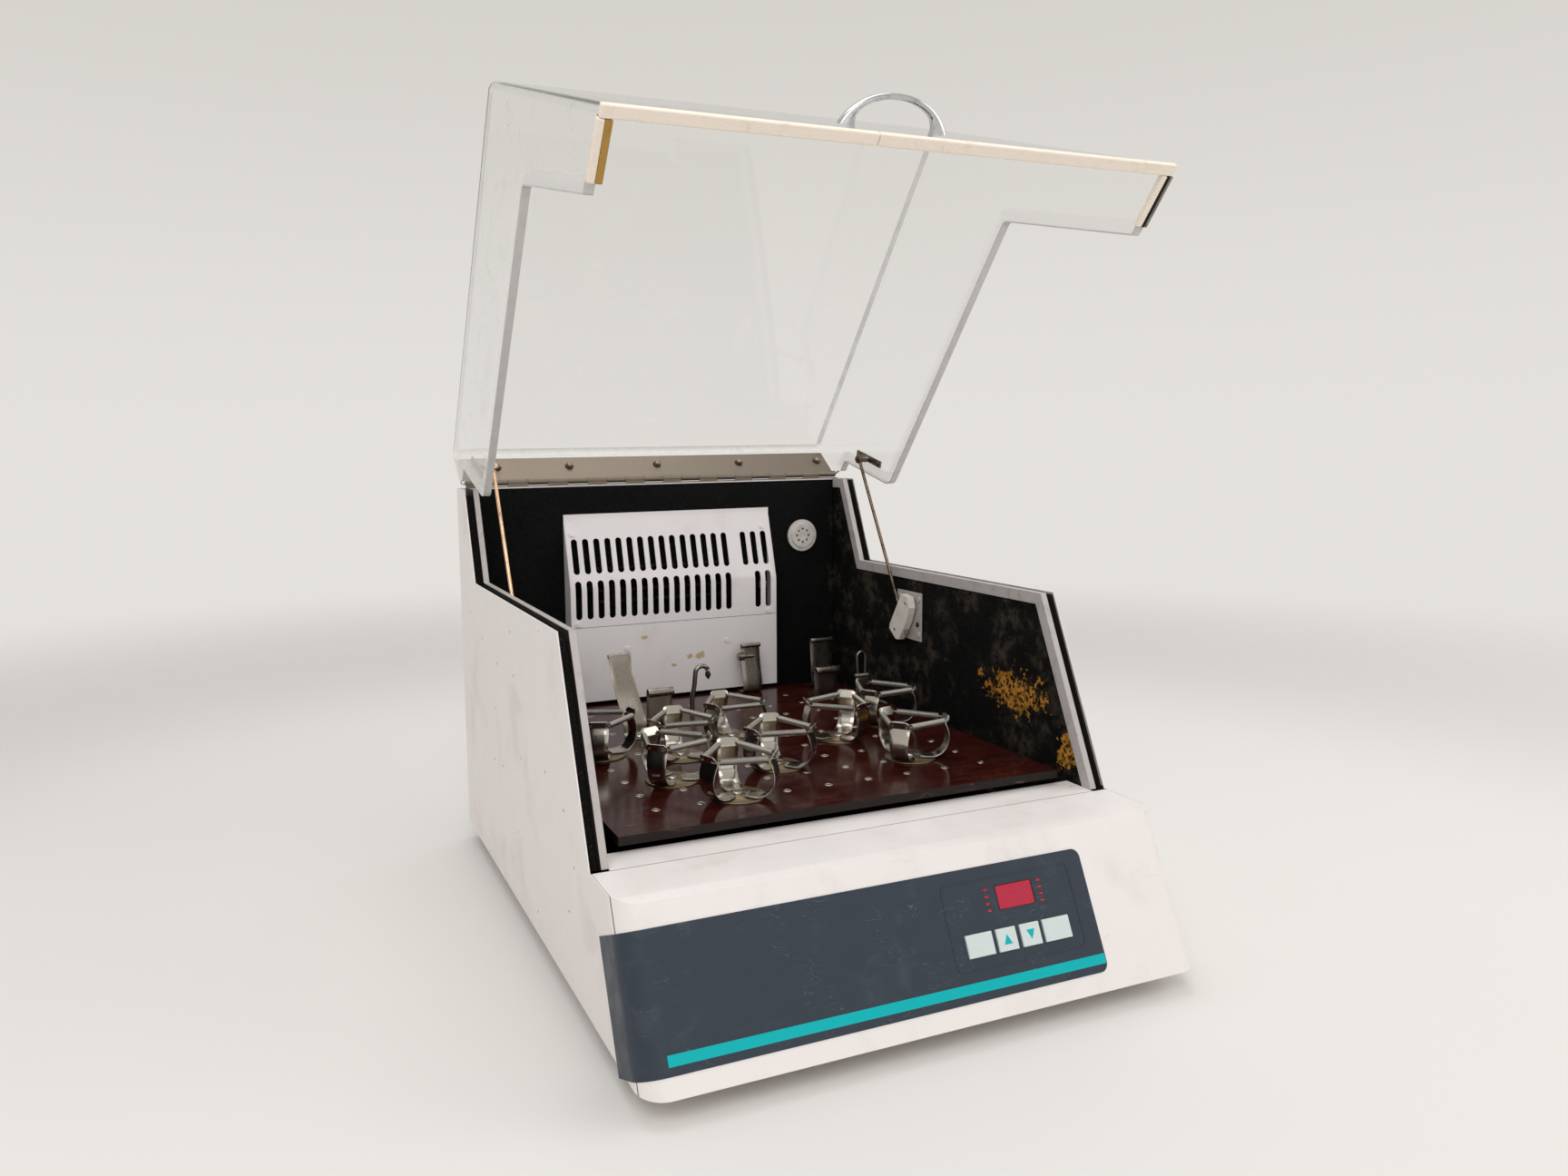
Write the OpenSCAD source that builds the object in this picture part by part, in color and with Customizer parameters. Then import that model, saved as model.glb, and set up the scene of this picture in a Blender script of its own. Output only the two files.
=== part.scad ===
// Incubated benchtop shaker with a hinged clear lid, open as it stands in use.
// Millimetres. +X right, -Y front, +Z up, origin on the floor under the middle of the part.

/* [Cabinet] */
// Width over the outer skins
cabinet_w = 526; // [500:1:560]
// Depth from the foot of the front face to the back skin
cabinet_d = 660; // [640:1:700]
// Height of the cabinet's underside, which is the height of a foot
foot_h = 20; // [14:1:30]
// Height of the wall's top edge at the back, above the underside
rear_wall_h = 418; // [400:1:440]
// Height of the side walls' long level edge, above the underside
side_wall_h = 312; // [290:1:330]
// Height of the deck in front of the chamber, above the underside
deck_h = 128; // [120:1:140]
// How far the front face leans back from foot to deck
front_lean = 58; // [40:1:66]
// Depth at which the side walls meet the deck
wall_foot_y = 126; // [116:1:136]
// Depth at which the side walls' front leg reaches the long level edge
wall_knee_y = 206.5; // [190:0.5:220]
// Distance of the long level edge's end from the back skin's outer face
wall_heel_y = 93; // [80:1:110]
// Distance of the rear top's start from the back skin's outer face
wall_crest_y = 47; // [38:1:56]
// Sheet metal thickness of skins and covers
skin_t = 1.2; // [0.8:0.1:1.6]
// Radius of the console's two vertical front corners
corner_r = 22; // [14:1:28]
// Depth of the deck's rear edge, where the chamber opens
chamber_front_y = 160; // [154:1:166]
// Distance of the chamber's back wall from the back skin's outer face
chamber_rear_y = 20; // [16:1:26]
// Radius of a rubber foot
foot_r = 13; // [10:1:18]
// Distance of the feet from the cabinet's outline
foot_inset = 24; // [18:1:40]

/* [Side wall section] */
// Width of the groove that takes the lid's edge
groove_w = 9.2; // [8.6:0.1:10]
// Depth of the groove's gasket below the wall's edge
gasket_drop = 9; // [8:0.5:12]
// Height of the gasket
gasket_h = 14; // [10:1:20]
// Thickness of the foam wall between groove and chamber
liner_t = 4.4; // [3:0.2:6]
// Thickness of the edge trim's sheet
trim_t = 1; // [0.6:0.1:1.4]
// Height of the edge trim's two lips
trim_lip = 12; // [8:1:18]

/* [Lid] */
// How far the lid stands open
lid_open = 52; // [40:1:60]
// Height of the hinge pin above the rear top edge
hinge_rise = 6; // [5.5:0.1:8]
// Distance of the hinge pin from the back skin's outer face
hinge_inset = 10; // [9:0.5:12]
// Thickness of the clear lid sheet
lid_t = 5; // [4:0.5:6]
// Height of the closed lid's top above the rear top edge
lid_top_rise = 73; // [60:1:90]
// Depth of the closed lid's top front bend
lid_brow_y = 194; // [170:1:220]
// Depth of the closed lid's foot on the deck
lid_foot_y = 67.5; // [64:0.5:74]
// Outer radius of the lid's bends
lid_bend_r = 12; // [7:1:18]
// How deep the lid's edge sits in the groove when closed
lid_nest = 5; // [3:0.5:6]
// Depth of the clear channel on the lid's edge
channel_h = 14; // [10:1:18]
// Wall of the clear channel
channel_t = 1.4; // [1:0.1:1.8]
// Width of the cream seal
seal_w = 13; // [9:1:16]
// Thickness of the cream seal
seal_t = 6; // [4:0.5:8]
// Distance of the handle from the lid's front foot, along the front sheet
handle_up = 42; // [34:1:70]
// Length of the handle over its two feet
handle_len = 104; // [80:1:140]
// Height of the handle's arch above the sheet
handle_h = 26; // [20:1:40]
// Thickness of the handle's bar
handle_bar = 5; // [4:0.5:8]

/* [Hinge] */
// Length of the piano hinge
hinge_len = 508; // [460:4:516]
// Outer radius of a knuckle
knuckle_r = 4; // [3.5:0.1:4.4]
// Radius of the hinge pin
hinge_pin_r = 1.5; // [1:0.1:2]
// Number of knuckles
knuckle_n = 20; // [8:2:30]
// Width of the stainless strip on the lid
strip_w = 44; // [30:1:50]
// Thickness of both hinge leaves
leaf_t = 1.6; // [1:0.1:2]
// Radius of an acorn screw's head
acorn_r = 4.2; // [3:0.1:5]

/* [Lid stays] */
// Distance of the rods from the chamber's side walls
stay_x = 8.1; // [6.1:0.5:11.1]
// Distance of the guide block's swivel from the back skin's outer face
stay_guide_y = 208; // [200:1:214]
// Height of the guide block's swivel above the underside
stay_guide_h = 251; // [246:1:256]
// Distance of the lid pivot from the heel, up along the rear step
stay_pivot_run = 52; // [44:1:60]
// Radius of the stay rod
rod_r = 2; // [1.5:0.1:2.6]
// Length of rod below the guide when the lid is open
rod_tail = 21; // [18:1:26]

/* [Platform and drive] */
// Width and depth of the platform board
board_w = 457.2; // [420:0.2:460]
// Thickness of the platform board
board_t = 8; // [6:0.5:10]
// Height of the platform's top above the underside
board_h = 143; // [138:1:150]
// Middle of the platform's travel, in depth
board_y = 373.2; // [370:0.2:376]
// Radius of the orbit
orbit_r = 9.5; // [5:0.5:9.5]
// Spacing of the platform's holes
hole_pitch = 44; // [36:1:60]
// Number of platform holes each way
hole_n = 9; // [5:2:11]
// Radius of a platform hole
hole_r = 2.4; // [1.6:0.1:3]
// Width and depth of the tray under the board
tray_w = 392; // [340:2:396]
// Thickness of the tray
tray_t = 8; // [6:1:10]
// Radius of a crank's lower journal
journal_r = 10; // [8:0.5:12]
// Radius of a crank's upper stub
stub_r = 8; // [6:0.5:9]
// Radial clearance of every running fit
run_gap = 0.05; // [0.02:0.01:0.09]
// Distance of the two idler cranks from the main crank, sideways
idler_x = 120; // [90:1:140]
// Distance of the two idler cranks from the main crank, to the back
idler_y = 110; // [80:1:130]
// Radius of the driven pulley
pulley_r = 54; // [40:1:60]
// Radius of the motor's pulley
motor_pulley_r = 18; // [14:1:24]
// Distance of the motor from the main crank, to the front
motor_y = 130; // [115:1:140]
// Radius of the flat motor
motor_r = 46; // [36:1:50]

/* [Heater housing] */
// Width of the heater housing
heater_w = 282.5; // [260:0.5:300]
// Sideways place of the housing's middle
heater_x = 4.5; // [-20:0.5:12]
// Depth of the housing's lower face in front of the back wall
heater_depth = 26.6; // [24:0.1:26.8]
// Height of the housing's foot above the underside
heater_foot_h = 147; // [146:1:152]
// Height of the seam between the lower panel and the grille
heater_seam_h = 242; // [234:1:254]
// Height of the bend where the sloped grille begins
heater_bend_h = 290; // [284:1:300]
// Height of the sloped grille's top edge
heater_top_h = 374; // [364:1:384]
// Width of a slot
slot_w = 8; // [4:0.2:9]
// Spacing of the slots
slot_pitch = 14.5; // [12:0.1:15]
// Slots in each long row
slot_n = 15; // [8:1:15]
// Length of a slot
slot_len = 45; // [30:1:48]
// Radius of the vent cap
vent_r = 21.4; // [16:0.2:26]
// Radius of the blower wheel
blower_r = 44; // [30:1:46]

/* [Console] */
// Left edge of the dark overlay's flat part
overlay_left = -241; // [-241:1:-200]
// Right edge of the dark overlay
overlay_right = 163; // [150:1:200]
// Lower edge of the overlay, up along the front face
overlay_low = 16; // [10:1:24]
// Upper edge of the overlay, up along the front face
overlay_high = 120; // [112:1:126]
// How far the overlay reaches back along the left side, past the rounded corner
overlay_wrap = 33; // [24:1:40]
// Thickness of the overlay film
film_t = 0.5; // [0.3:0.1:0.8]
// Width of the display window
display_w = 36; // [30:1:40]
// Height of the display window
display_h = 19; // [14:1:21]
// Sideways place of the display's middle
display_x = 87; // [80:1:92]
// Place of the display's middle, up along the front face
display_s = 92; // [88:1:96]
// Height of the keys
key_h = 18.4; // [14:0.2:22]
// Place of the keys' middle, up along the front face
key_s = 58.5; // [52:0.5:62]
// How far a key stands out of the overlay
key_out = 1.6; // [1.2:0.1:2.4]
// Travel of a key
key_travel = 0.8; // [0.4:0.1:1]
// Clearance round a key
key_gap = 0.3; // [0.2:0.05:0.4]

/* [Flask clamps] */
// Radius of a clamp's base disc
disc_r = 26; // [22:0.5:28]
// Thickness of the clamp's sheet
clamp_t = 1; // [0.8:0.1:1.4]
// Width of a clamp leg
leg_w = 21; // [16:0.5:22]
// Height of a clamp's spring tabs above the board
leg_h = 43; // [38:0.5:50]
// Radius at which a leg bulges most
leg_bulge = 39; // [36:0.5:42]
// Radius of the spring holes round the clamp
tab_r = 34.5; // [33:0.5:36]
// Half the spacing of a tab's two spring holes
tab_half = 8; // [6:0.25:8.5]
// Outer radius of a spring
spring_r = 3.2; // [2.4:0.1:3.6]
// Wire radius of a spring
wire_r = 0.4; // [0.3:0.05:0.5]
// Curls of each spring on the front clamp
curl_n = 28; // [20:1:28]

/* [Hidden] */

// Finish of round parts; a higher number is a smoother circle.
$fn = 48;
// Clearance between pieces that only lie beside each other.
gap = 0.3;

// Heights above the floor, worked out from the driving dimensions.
z_under = foot_h;
z_rear = z_under + rear_wall_h;
z_side = z_under + side_wall_h;
z_deck = z_under + deck_h;
z_board = z_under + board_h;
z_lid = z_rear + lid_top_rise;
half_w = cabinet_w / 2;

// Depths that are given from the back skin's outer face.
heel_y = cabinet_d - wall_heel_y;
crest_y = cabinet_d - wall_crest_y;
rear_y = cabinet_d - chamber_rear_y;
guide_y = cabinet_d - stay_guide_y;

// Sections across the side wall, from the outer skin inwards.
x_skin_in = half_w - skin_t;
x_trim_out = x_skin_in - groove_w;
x_liner_out = x_trim_out - trim_t - 0.1;
x_liner_in = x_liner_out - liner_t;
x_trim_in = x_liner_in - trim_t - 0.1;
lid_half = (x_skin_in + x_trim_out + lid_t) / 2;
stay_mid = x_liner_in - stay_x;

// The hinge axis runs along X through this depth and height.
hinge_y = cabinet_d - hinge_inset;
hinge_z = z_rear + hinge_rise;
lid_back_y = cabinet_d - 1.5;

// The lid's top rear corner, once open, is the part's rearmost point; the front foot is its foremost.
// The corner is rounded, so the rearmost point lies on its arc.
open_back = hinge_y + (lid_back_y - lid_bend_r - hinge_y) * cos(lid_open)
  + (z_lid - lid_bend_r - hinge_z) * sin(lid_open) + lid_bend_r;
y_mid = open_back / 2;

// Edge line of a side wall, from the deck up to the rear top (depth, height).
wall_edge = [[wall_foot_y, z_deck], [wall_knee_y, z_side], [heel_y, z_side],
  [crest_y, z_rear], [cabinet_d, z_rear]];
// Outline of the console from the side, foot of the front face first.
face_foot = [0, z_under];
face_top = [front_lean, z_deck - 2];
face_len = norm(face_top - face_foot);
face_angle = atan2(face_top[1] - face_foot[1], face_top[0] - face_foot[0]);

// Closed lid, outer side view: the front foot, the brow, the crown and the rear foot.
lid_foot = [lid_foot_y, z_deck + seal_t];
lid_brow = [lid_brow_y, z_lid];
lid_crown = [lid_back_y, z_lid];
lid_heel = [lid_back_y, hinge_z + knuckle_r + 2];

// The platform's place at rest: the cranks point to the back.
rest_x = 0;
rest_y = board_y + orbit_r;

CASE = [0.86, 0.84, 0.83];
FOAM = [0.07, 0.07, 0.07];
STEEL = [0.72, 0.72, 0.72];
DARK = [0.15, 0.15, 0.16];
CLEAR = [0.85, 0.88, 0.9, 0.4];
CREAM = [0.93, 0.88, 0.78];
SLATE = [0.27, 0.31, 0.36];
BOARD = [0.25, 0.09, 0.07];

// A polyline moved sideways by d, to its right-hand side seen along its direction.
function unit(v) = v / norm(v);
function side_of(a, b) = let (u = unit(b - a)) [u[1], -u[0]];
function cross_at(p, u, q, v) = p + u * (((q - p)[0] * v[1] - (q - p)[1] * v[0]) / (u[0] * v[1] - u[1] * v[0]));
function shifted(pts, d) = [for (i = [0 : len(pts) - 1])
  i == 0 ? pts[0] + side_of(pts[0], pts[1]) * d
  : i == len(pts) - 1 ? pts[i] + side_of(pts[i - 1], pts[i]) * d
  : cross_at(pts[i - 1] + side_of(pts[i - 1], pts[i]) * d, pts[i] - pts[i - 1],
      pts[i] + side_of(pts[i], pts[i + 1]) * d, pts[i + 1] - pts[i])];

// A corner at b between a and c, rounded with radius r in steps.
function rounded(a, b, c, r, steps = 6) = let (
    u = unit(a - b), v = unit(c - b),
    half = acos(u * v) / 2,
    mid = b + unit(u + v) * (r / sin(half)),
    from = b + u * (r / tan(half)) - mid,
    to = b + v * (r / tan(half)) - mid,
    a0 = atan2(from[1], from[0]),
    turn = ((atan2(to[1], to[0]) - a0 + 540) % 360) - 180)
  [for (i = [0 : steps]) mid + r * [cos(a0 + turn * i / steps), sin(a0 + turn * i / steps)]];

// Points of a cubic curve.
function curve(a, b, c, d, steps = 7) = [for (i = [0 : steps]) let (t = i / steps, s = 1 - t)
  a * s * s * s + b * 3 * s * s * t + c * 3 * s * t * t + d * t * t * t];

// A side view (depth, height) made into a solid between two sideways places.
module across(x0, x1, pts) {
  translate([x0, 0, 0]) rotate([90, 0, 90]) linear_extrude(x1 - x0) polygon(pts);
}

// The same solid on the other side.
module both() {
  children();
  mirror([1, 0, 0]) children();
}

module box(low, high) {
  translate(low) cube(high - low);
}

// A round bar from one point to another.
module rod(a, b, r, fn = 24) {
  d = b - a;
  translate(a) rotate([0, acos(d[2] / norm(d)), atan2(d[1], d[0])]) cylinder(r = r, h = norm(d), $fn = fn);
}

// Puts the cabinet's own depth scale under the part's middle.
module in_place() {
  translate([0, -y_mid, 0]) children();
}

// Turns the closed lid up to where the photograph shows it.
module lid_place() {
  in_place() translate([0, hinge_y, hinge_z]) rotate([-lid_open, 0, 0])
    translate([0, -hinge_y, -hinge_z]) children();
}

// Frame of the front face: x sideways, y up along the face, z out of it.
module on_face() {
  in_place() translate([0, face_foot[0], face_foot[1]]) rotate([face_angle, 0, 0]) children();
}

// Frame of the platform's top, at the middle of the board.
module on_board() {
  in_place() translate([rest_x, rest_y, z_board]) children();
}

pan_t = 1.5;
pan_lip = 14;
pan_half = half_w - skin_t - gap;
// The bearing plate stands on posts over the pulleys and carries the cranks and the motor.
plate_z = z_under + 38;
plate_t = 6;
boss_r = 21;
boss_h = 16;
bearing_or = 17;
bearing_h = 13;
bearing_z = plate_z + boss_h - bearing_h;
pulley_z = z_under + 18;
pulley_t = 12;
crank_spots = [[0, board_y], [-idler_x, board_y + idler_y], [idler_x, board_y + idler_y]];
motor_spot = [0, board_y - motor_y];
plate_low = [-idler_x - 32, motor_spot[1] - motor_r - 6];
plate_high = [idler_x + 32, board_y + idler_y + 32];
plate_posts = [for (x = [plate_low[0] + 10, plate_high[0] - 10], y = [plate_low[1] + 10, plate_high[1] - 10]) [x, y]];
board_posts = [for (x = [-212, -168], y = [250, 350]) [x, y]];
power_board_z = z_under + 14;
foot_spots = [for (x = [-1, 1], y = [foot_inset + 86, cabinet_d - foot_inset]) [x * (half_w - foot_inset), y]];
foot_screw_r = 2.5;

module base_pan() {
  color(CASE) in_place() difference() {
    union() {
      box([-pan_half, cover_back - 1, z_under], [pan_half, cabinet_d - skin_t - gap, z_under + pan_t]);
      intersection() {
        box([-pan_half, -10, z_under], [pan_half, cover_back, z_under + pan_t]);
        console_form(skin_t + gap, z_under - 1, cover_back + 1);
      }
      for (x = [-pan_half, pan_half - pan_t])
        box([x, wall_foot_y + 4, z_under], [x + pan_t, cabinet_d - skin_t - gap, z_under + pan_lip]);
      for (p = plate_posts) translate([p[0], p[1], z_under]) cylinder(r = 6, h = plate_z - z_under + 1);
      box([plate_low[0], plate_low[1], plate_z], [plate_high[0], plate_high[1], plate_z + plate_t]);
      for (p = crank_spots) translate([p[0], p[1], plate_z]) cylinder(r = boss_r, h = boss_h);
      for (p = board_posts) translate([p[0], p[1], z_under]) cylinder(r = 3.5, h = power_board_z - z_under);
    }
    for (p = crank_spots) {
      translate([p[0], p[1], bearing_z]) cylinder(r = bearing_or + run_gap, h = bearing_h + 1);
      translate([p[0], p[1], plate_z - 1]) cylinder(r = bearing_or - 3, h = boss_h);
    }
    translate([motor_spot[0], motor_spot[1], plate_z - 1]) cylinder(r = 8, h = plate_t + 2);
    for (p = foot_spots) translate([p[0], p[1], z_under - 1]) cylinder(r = foot_screw_r + gap, h = pan_t + 2);
    for (x = [-56 : 14 : 56], y = [rear_y - 80, rear_y - 60]) translate([x, y, z_under - 1]) cylinder(r = 3, h = pan_t + 2);
  }
}

// Outer skin of one side, on the right; its top edge is the stepped wall edge.
side_front = wall_foot_y - 2;

module side_skin() {
  across(x_skin_in, half_w, concat([[side_front, z_under], [side_front, z_deck]], wall_edge, [[cabinet_d, z_under]]));
}

module right_side_panel() {
  color(CASE) in_place() side_skin();
}

module left_side_panel() {
  color(CASE) in_place() mirror([1, 0, 0]) side_skin();
}

inlet_x = 150;
inlet_h = 60;
inlet_size = [27, 20];
switch_size = [13, 19];
switch_x = inlet_x - 40;

module rear_panel() {
  in_x = x_skin_in - gap;
  color(CASE) in_place() difference() {
    union() {
      box([-in_x, cabinet_d - skin_t, z_under + pan_lip], [in_x, cabinet_d, z_rear]);
      box([-x_trim_in + gap, rear_y + 0.6, z_rear - skin_t], [x_trim_in - gap, cabinet_d, z_rear]);
    }
    translate([inlet_x, cabinet_d, z_under + inlet_h]) cube([inlet_size[0], 10, inlet_size[1]], center = true);
    translate([switch_x, cabinet_d, z_under + inlet_h]) cube([switch_size[0], 10, switch_size[1]], center = true);
    // Louvres over the electrics.
    for (x = [-200 : 12 : -100])
      translate([x, cabinet_d, z_under + 60]) cube([5, 10, 40], center = true);
  }
}

// Frame of the front face without the shift to the part's middle: y up the face, z out of it.
module face_place() {
  translate([0, face_foot[0], face_foot[1]]) rotate([face_angle, 0, 0]) children();
}

// Solid of the console, set in by t all round; the two front corners lean back with the face.
module console_form(t, foot, back) {
  bend = [front_lean + 12, z_deck];
  top = shifted([face_top - (bend - face_top) * 8, bend, [back, z_deck]], t);
  r = corner_r - t;
  edge = half_w - t;
  intersection() {
    across(-half_w - 5, half_w + 5, concat(top, [[back, foot], [top[0][0], foot]]));
    face_place() translate([0, -80, 0]) rotate([-90, 0, 0]) linear_extrude(400) {
      translate([-edge, t + r]) square([2 * edge, 400]);
      translate([r - edge, t]) square([2 * (edge - r), r + 1]);
      for (x = [r - edge, edge - r]) translate([x, t + r]) circle(r = r, $fn = 64);
    }
  }
}

// Hairline between pieces of one body that are seated on each other.
seat = 0.02;
seam_w = 0.7;
cover_back = wall_foot_y - 2 - gap;
sill_flange = 18;
key_spots = [[41.5, 26], [68.5, 19.5], [92.8, 19.5], [120.3, 27.5]];
mark_spots = [for (x = [-28.5, 26.5], i = [-1.5 : 1.5]) [display_x + x, display_s - 0.3 + i * 5.6]];
mark_size = [4, 2];
panel_low = [15, 39];
panel_high = [147, 110];

// Openings for the display, its marks and the keys, grown by g.
module console_windows(g, low, high) {
  at = [display_x - display_w / 2, display_s - display_h / 2];
  translate([at[0] - g, at[1] - g, low]) cube([display_w + 2 * g, display_h + 2 * g, high - low]);
  for (p = mark_spots)
    translate([p[0] - mark_size[0] / 2 - g, p[1] - mark_size[1] / 2 - g, low])
      cube([mark_size[0] + 2 * g, mark_size[1] + 2 * g, high - low]);
  for (k = key_spots)
    translate([k[0] - k[1] / 2 - key_gap, key_s - key_h / 2 - key_gap, low])
      cube([k[1] + 2 * key_gap, key_h + 2 * key_gap, high - low]);
}

module console_cover() {
  sill_x = x_trim_in - gap;
  color(CASE) in_place() difference() {
    union() {
      difference() {
        console_form(0, z_under, cover_back);
        console_form(skin_t, z_under - 1, cover_back + 1);
      }
      box([-sill_x, cover_back - 3, z_deck - skin_t], [sill_x, chamber_front_y, z_deck]);
      box([-sill_x, chamber_front_y - skin_t, z_deck - sill_flange], [sill_x, chamber_front_y, z_deck]);
    }
    box([-half_w, cover_back - seam_w, z_deck - skin_t / 2], [half_w, cover_back, z_deck + 1]);
    face_place() console_windows(0.15, -4, 3);
  }
}

// A flat plate in the face's frame, with four rounded corners.
module rounded_plate(low, high, r, z0, z1) {
  translate([0, 0, z0]) linear_extrude(z1 - z0) union() {
    translate([low[0] + r, low[1]]) square([high[0] - low[0] - 2 * r, high[1] - low[1]]);
    translate([low[0], low[1] + r]) square([high[0] - low[0], high[1] - low[1] - 2 * r]);
    for (x = [low[0] + r, high[0] - r], y = [low[1] + r, high[1] - r]) translate([x, y]) circle(r = r);
  }
}

module control_overlay() {
  color(SLATE) in_place() difference() {
    union() {
      intersection() {
        difference() {
          console_form(-film_t, z_under - 10, cover_back);
          console_form(-seat, z_under - 11, cover_back + 1);
        }
        face_place() rounded_plate([-half_w - 20, overlay_low], [overlay_right, overlay_high], 8,
          -corner_r - overlay_wrap, 4);
      }
      // Raised line round the control panel.
      face_place() difference() {
        rounded_plate(panel_low, panel_high, 6, film_t - 0.1, film_t + 0.3);
        rounded_plate(panel_low + [1, 1], panel_high - [1, 1], 5, film_t - 0.2, film_t + 0.4);
      }
    }
    face_place() console_windows(0.15, -4, 3);
  }
  color([0, 0.78, 0.75]) in_place() face_place()
    box([overlay_left + 1, overlay_low + 6.5, film_t + 0.01], [overlay_right - 1, overlay_low + 14.5, film_t + 0.12]);
}

board_z = -10;

module display_window() {
  color([0.75, 0.05, 0.2]) on_face() {
    translate([display_x - display_w / 2, display_s - display_h / 2, board_z + seat])
      cube([display_w, display_h, film_t + 0.2 - board_z - seat]);
    for (p = mark_spots)
      translate([p[0] - mark_size[0] / 2, p[1] - mark_size[1] / 2, board_z + seat])
        cube([mark_size[0], mark_size[1], film_t + 0.1 - board_z - seat]);
  }
}

// A key stands through the overlay and the cover and stops above the control board.
module key(i) {
  k = key_spots[i];
  stop = board_z + key_travel + gap;
  lip = key_gap + 0.9;
  color([0.93, 0.93, 0.92]) on_face() {
    translate([k[0] - k[1] / 2, key_s - key_h / 2, stop]) cube([k[1], key_h, film_t + key_out - stop]);
    // The lip behind the cover keeps the key in.
    translate([k[0] - k[1] / 2 - lip, key_s - key_h / 2 - lip, -skin_t - gap - 1.2])
      cube([k[1] + 2 * lip, key_h + 2 * lip, 1.2]);
  }
}

module start_key() { key(0); }
module up_key() { key(1); }
module down_key() { key(2); }
module select_key() { key(3); }

module circuit_boards() {
  color([0.1, 0.35, 0.2]) {
    on_face() difference() {
      union() {
        translate([8, 34, board_z - 1.6]) cube([146, 80, 1.6]);
        // Standoffs reach the back of the front face.
        for (x = [12, 150], y = [38, 110]) translate([x, y, board_z - 0.1])
          cylinder(r = 3, h = -board_z - skin_t - seat + 0.1);
        for (x = [30 : 24 : 130]) translate([x, 80, board_z - 6]) cube([14, 18, 4.5]);
      }
      for (x = [12, 150], y = [38, 110]) translate([x, y, board_z - 2]) cylinder(r = 1.2, h = 8);
    }
    in_place() {
      translate([-230, 230, power_board_z + gap]) cube([80, 140, 1.6]);
      translate([-222, 244, power_board_z + gap + 1.5]) cube([44, 40, 34]);
      translate([-222, 296, power_board_z + gap + 1.5]) cube([30, 50, 22]);
      for (y = [300 : 22 : 350]) translate([-166, y, power_board_z + gap + 1.5]) cylinder(r = 8, h = 30);
    }
  }
}

z_floor = z_under + 84;
floor_t = 12;
wall_back = cabinet_d - skin_t - gap;
// The wall edge as the trim, liner and gasket follow it, clear of the deck and the back skin.
trim_edge = concat([[wall_foot_y + 0.3, z_deck + 0.6]], [wall_edge[1], wall_edge[2], wall_edge[3]], [[wall_back, z_rear]]);

function reversed(v) = [for (i = [len(v) - 1 : -1 : 0]) v[i]];
function band(pts, near, far) = concat(shifted(pts, near), reversed(shifted(pts, far)));
function down_to(pts, z) = concat([[pts[0][0], z]], pts, [[pts[len(pts) - 1][0], z]]);

module side_liner() {
  low = z_floor - floor_t;
  // Thin wall between the groove and the chamber.
  across(x_liner_in, x_liner_out, down_to(shifted(trim_edge, trim_t + 0.1), low));
  // Thick foam under the groove.
  intersection() {
    across(x_liner_in, x_skin_in - gap, down_to(shifted(trim_edge, gasket_drop + gasket_h + gap), low));
    box([0, wall_foot_y + 6, low - 1], [half_w, wall_back, z_rear]);
  }
}

module right_liner() {
  color(FOAM) in_place() side_liner();
}

module left_liner() {
  color(FOAM) in_place() mirror([1, 0, 0]) side_liner();
}

module rear_liner() {
  in_x = x_trim_in - gap;
  color(FOAM) in_place() difference() {
    box([-in_x, rear_y, z_floor - floor_t], [in_x, cabinet_d - skin_t - gap, z_rear - skin_t - gap]);
    translate([blower_x, rear_y - 1, blower_z]) rotate([-90, 0, 0]) cylinder(r = blower_motor_r + gap, h = 30);
    translate([vent_x, rear_y - 1, vent_z]) rotate([-90, 0, 0]) cylinder(r = vent_tube_r + gap, h = 30);
  }
}

floor_half = x_liner_in - gap;
floor_front = chamber_front_y - skin_t - gap - 12;

module chamber_floor() {
  color(DARK) in_place() difference() {
    union() {
      box([-floor_half, floor_front, z_floor - floor_t], [floor_half, rear_y - gap, z_floor]);
      box([-floor_half + 2, floor_front, z_floor - floor_t],
        [floor_half - 2, floor_front + 12, z_deck - skin_t - gap]);
    }
    for (p = crank_spots) translate([p[0], p[1], z_floor - floor_t - 1]) cylinder(r = journal_r + 4, h = floor_t + 2);
  }
}

module edge_trims() {
  color([0.82, 0.8, 0.78]) in_place() both() difference() {
    across(x_trim_in, x_trim_out, band(trim_edge, 0, trim_lip));
    across(x_liner_in - 0.1, x_liner_out + 0.1, band(trim_edge, trim_t, trim_lip + 30));
  }
}

module groove_gaskets() {
  color([0.05, 0.05, 0.05]) in_place() both()
    across(x_trim_out + 0.1, x_skin_in - 0.1, band(trim_edge, gasket_drop, gasket_drop + gasket_h));
}

z_heat_foot = z_under + heater_foot_h;
z_heat_seam = z_under + heater_seam_h;
z_heat_bend = z_under + heater_bend_h;
z_heat_top = z_under + heater_top_h;
heat_y = rear_y - heater_depth;
heat_back = rear_y - gap;
// Side view of the housing's outside: up the lower face, back along the slope, up the wall flange.
heat_line = [[heat_y, z_heat_seam], [heat_y, z_heat_bend], [heat_back - 2, z_heat_top], [heat_back - 2, z_heat_top + 8]];
heat_slope = atan2(z_heat_top - z_heat_bend, heat_back - 2 - heat_y);
heat_left = heater_x - heater_w / 2;
heat_right = heater_x + heater_w / 2;
heat_t = 1.2;
blower_x = heater_x - 30;
blower_z = z_heat_foot + 54;
blower_motor_r = 24;
vent_x = 197;
vent_z = z_under + 342;
vent_tube_r = 12;

module slot(len, w) {
  // A round-ended slot along y, cut down through z.
  for (y = [w / 2, len - w / 2]) translate([0, y, -30]) cylinder(r = w / 2, h = 60, $fn = 24);
  translate([-w / 2, w / 2, -30]) cube([w, len - w, 60]);
}

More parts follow.
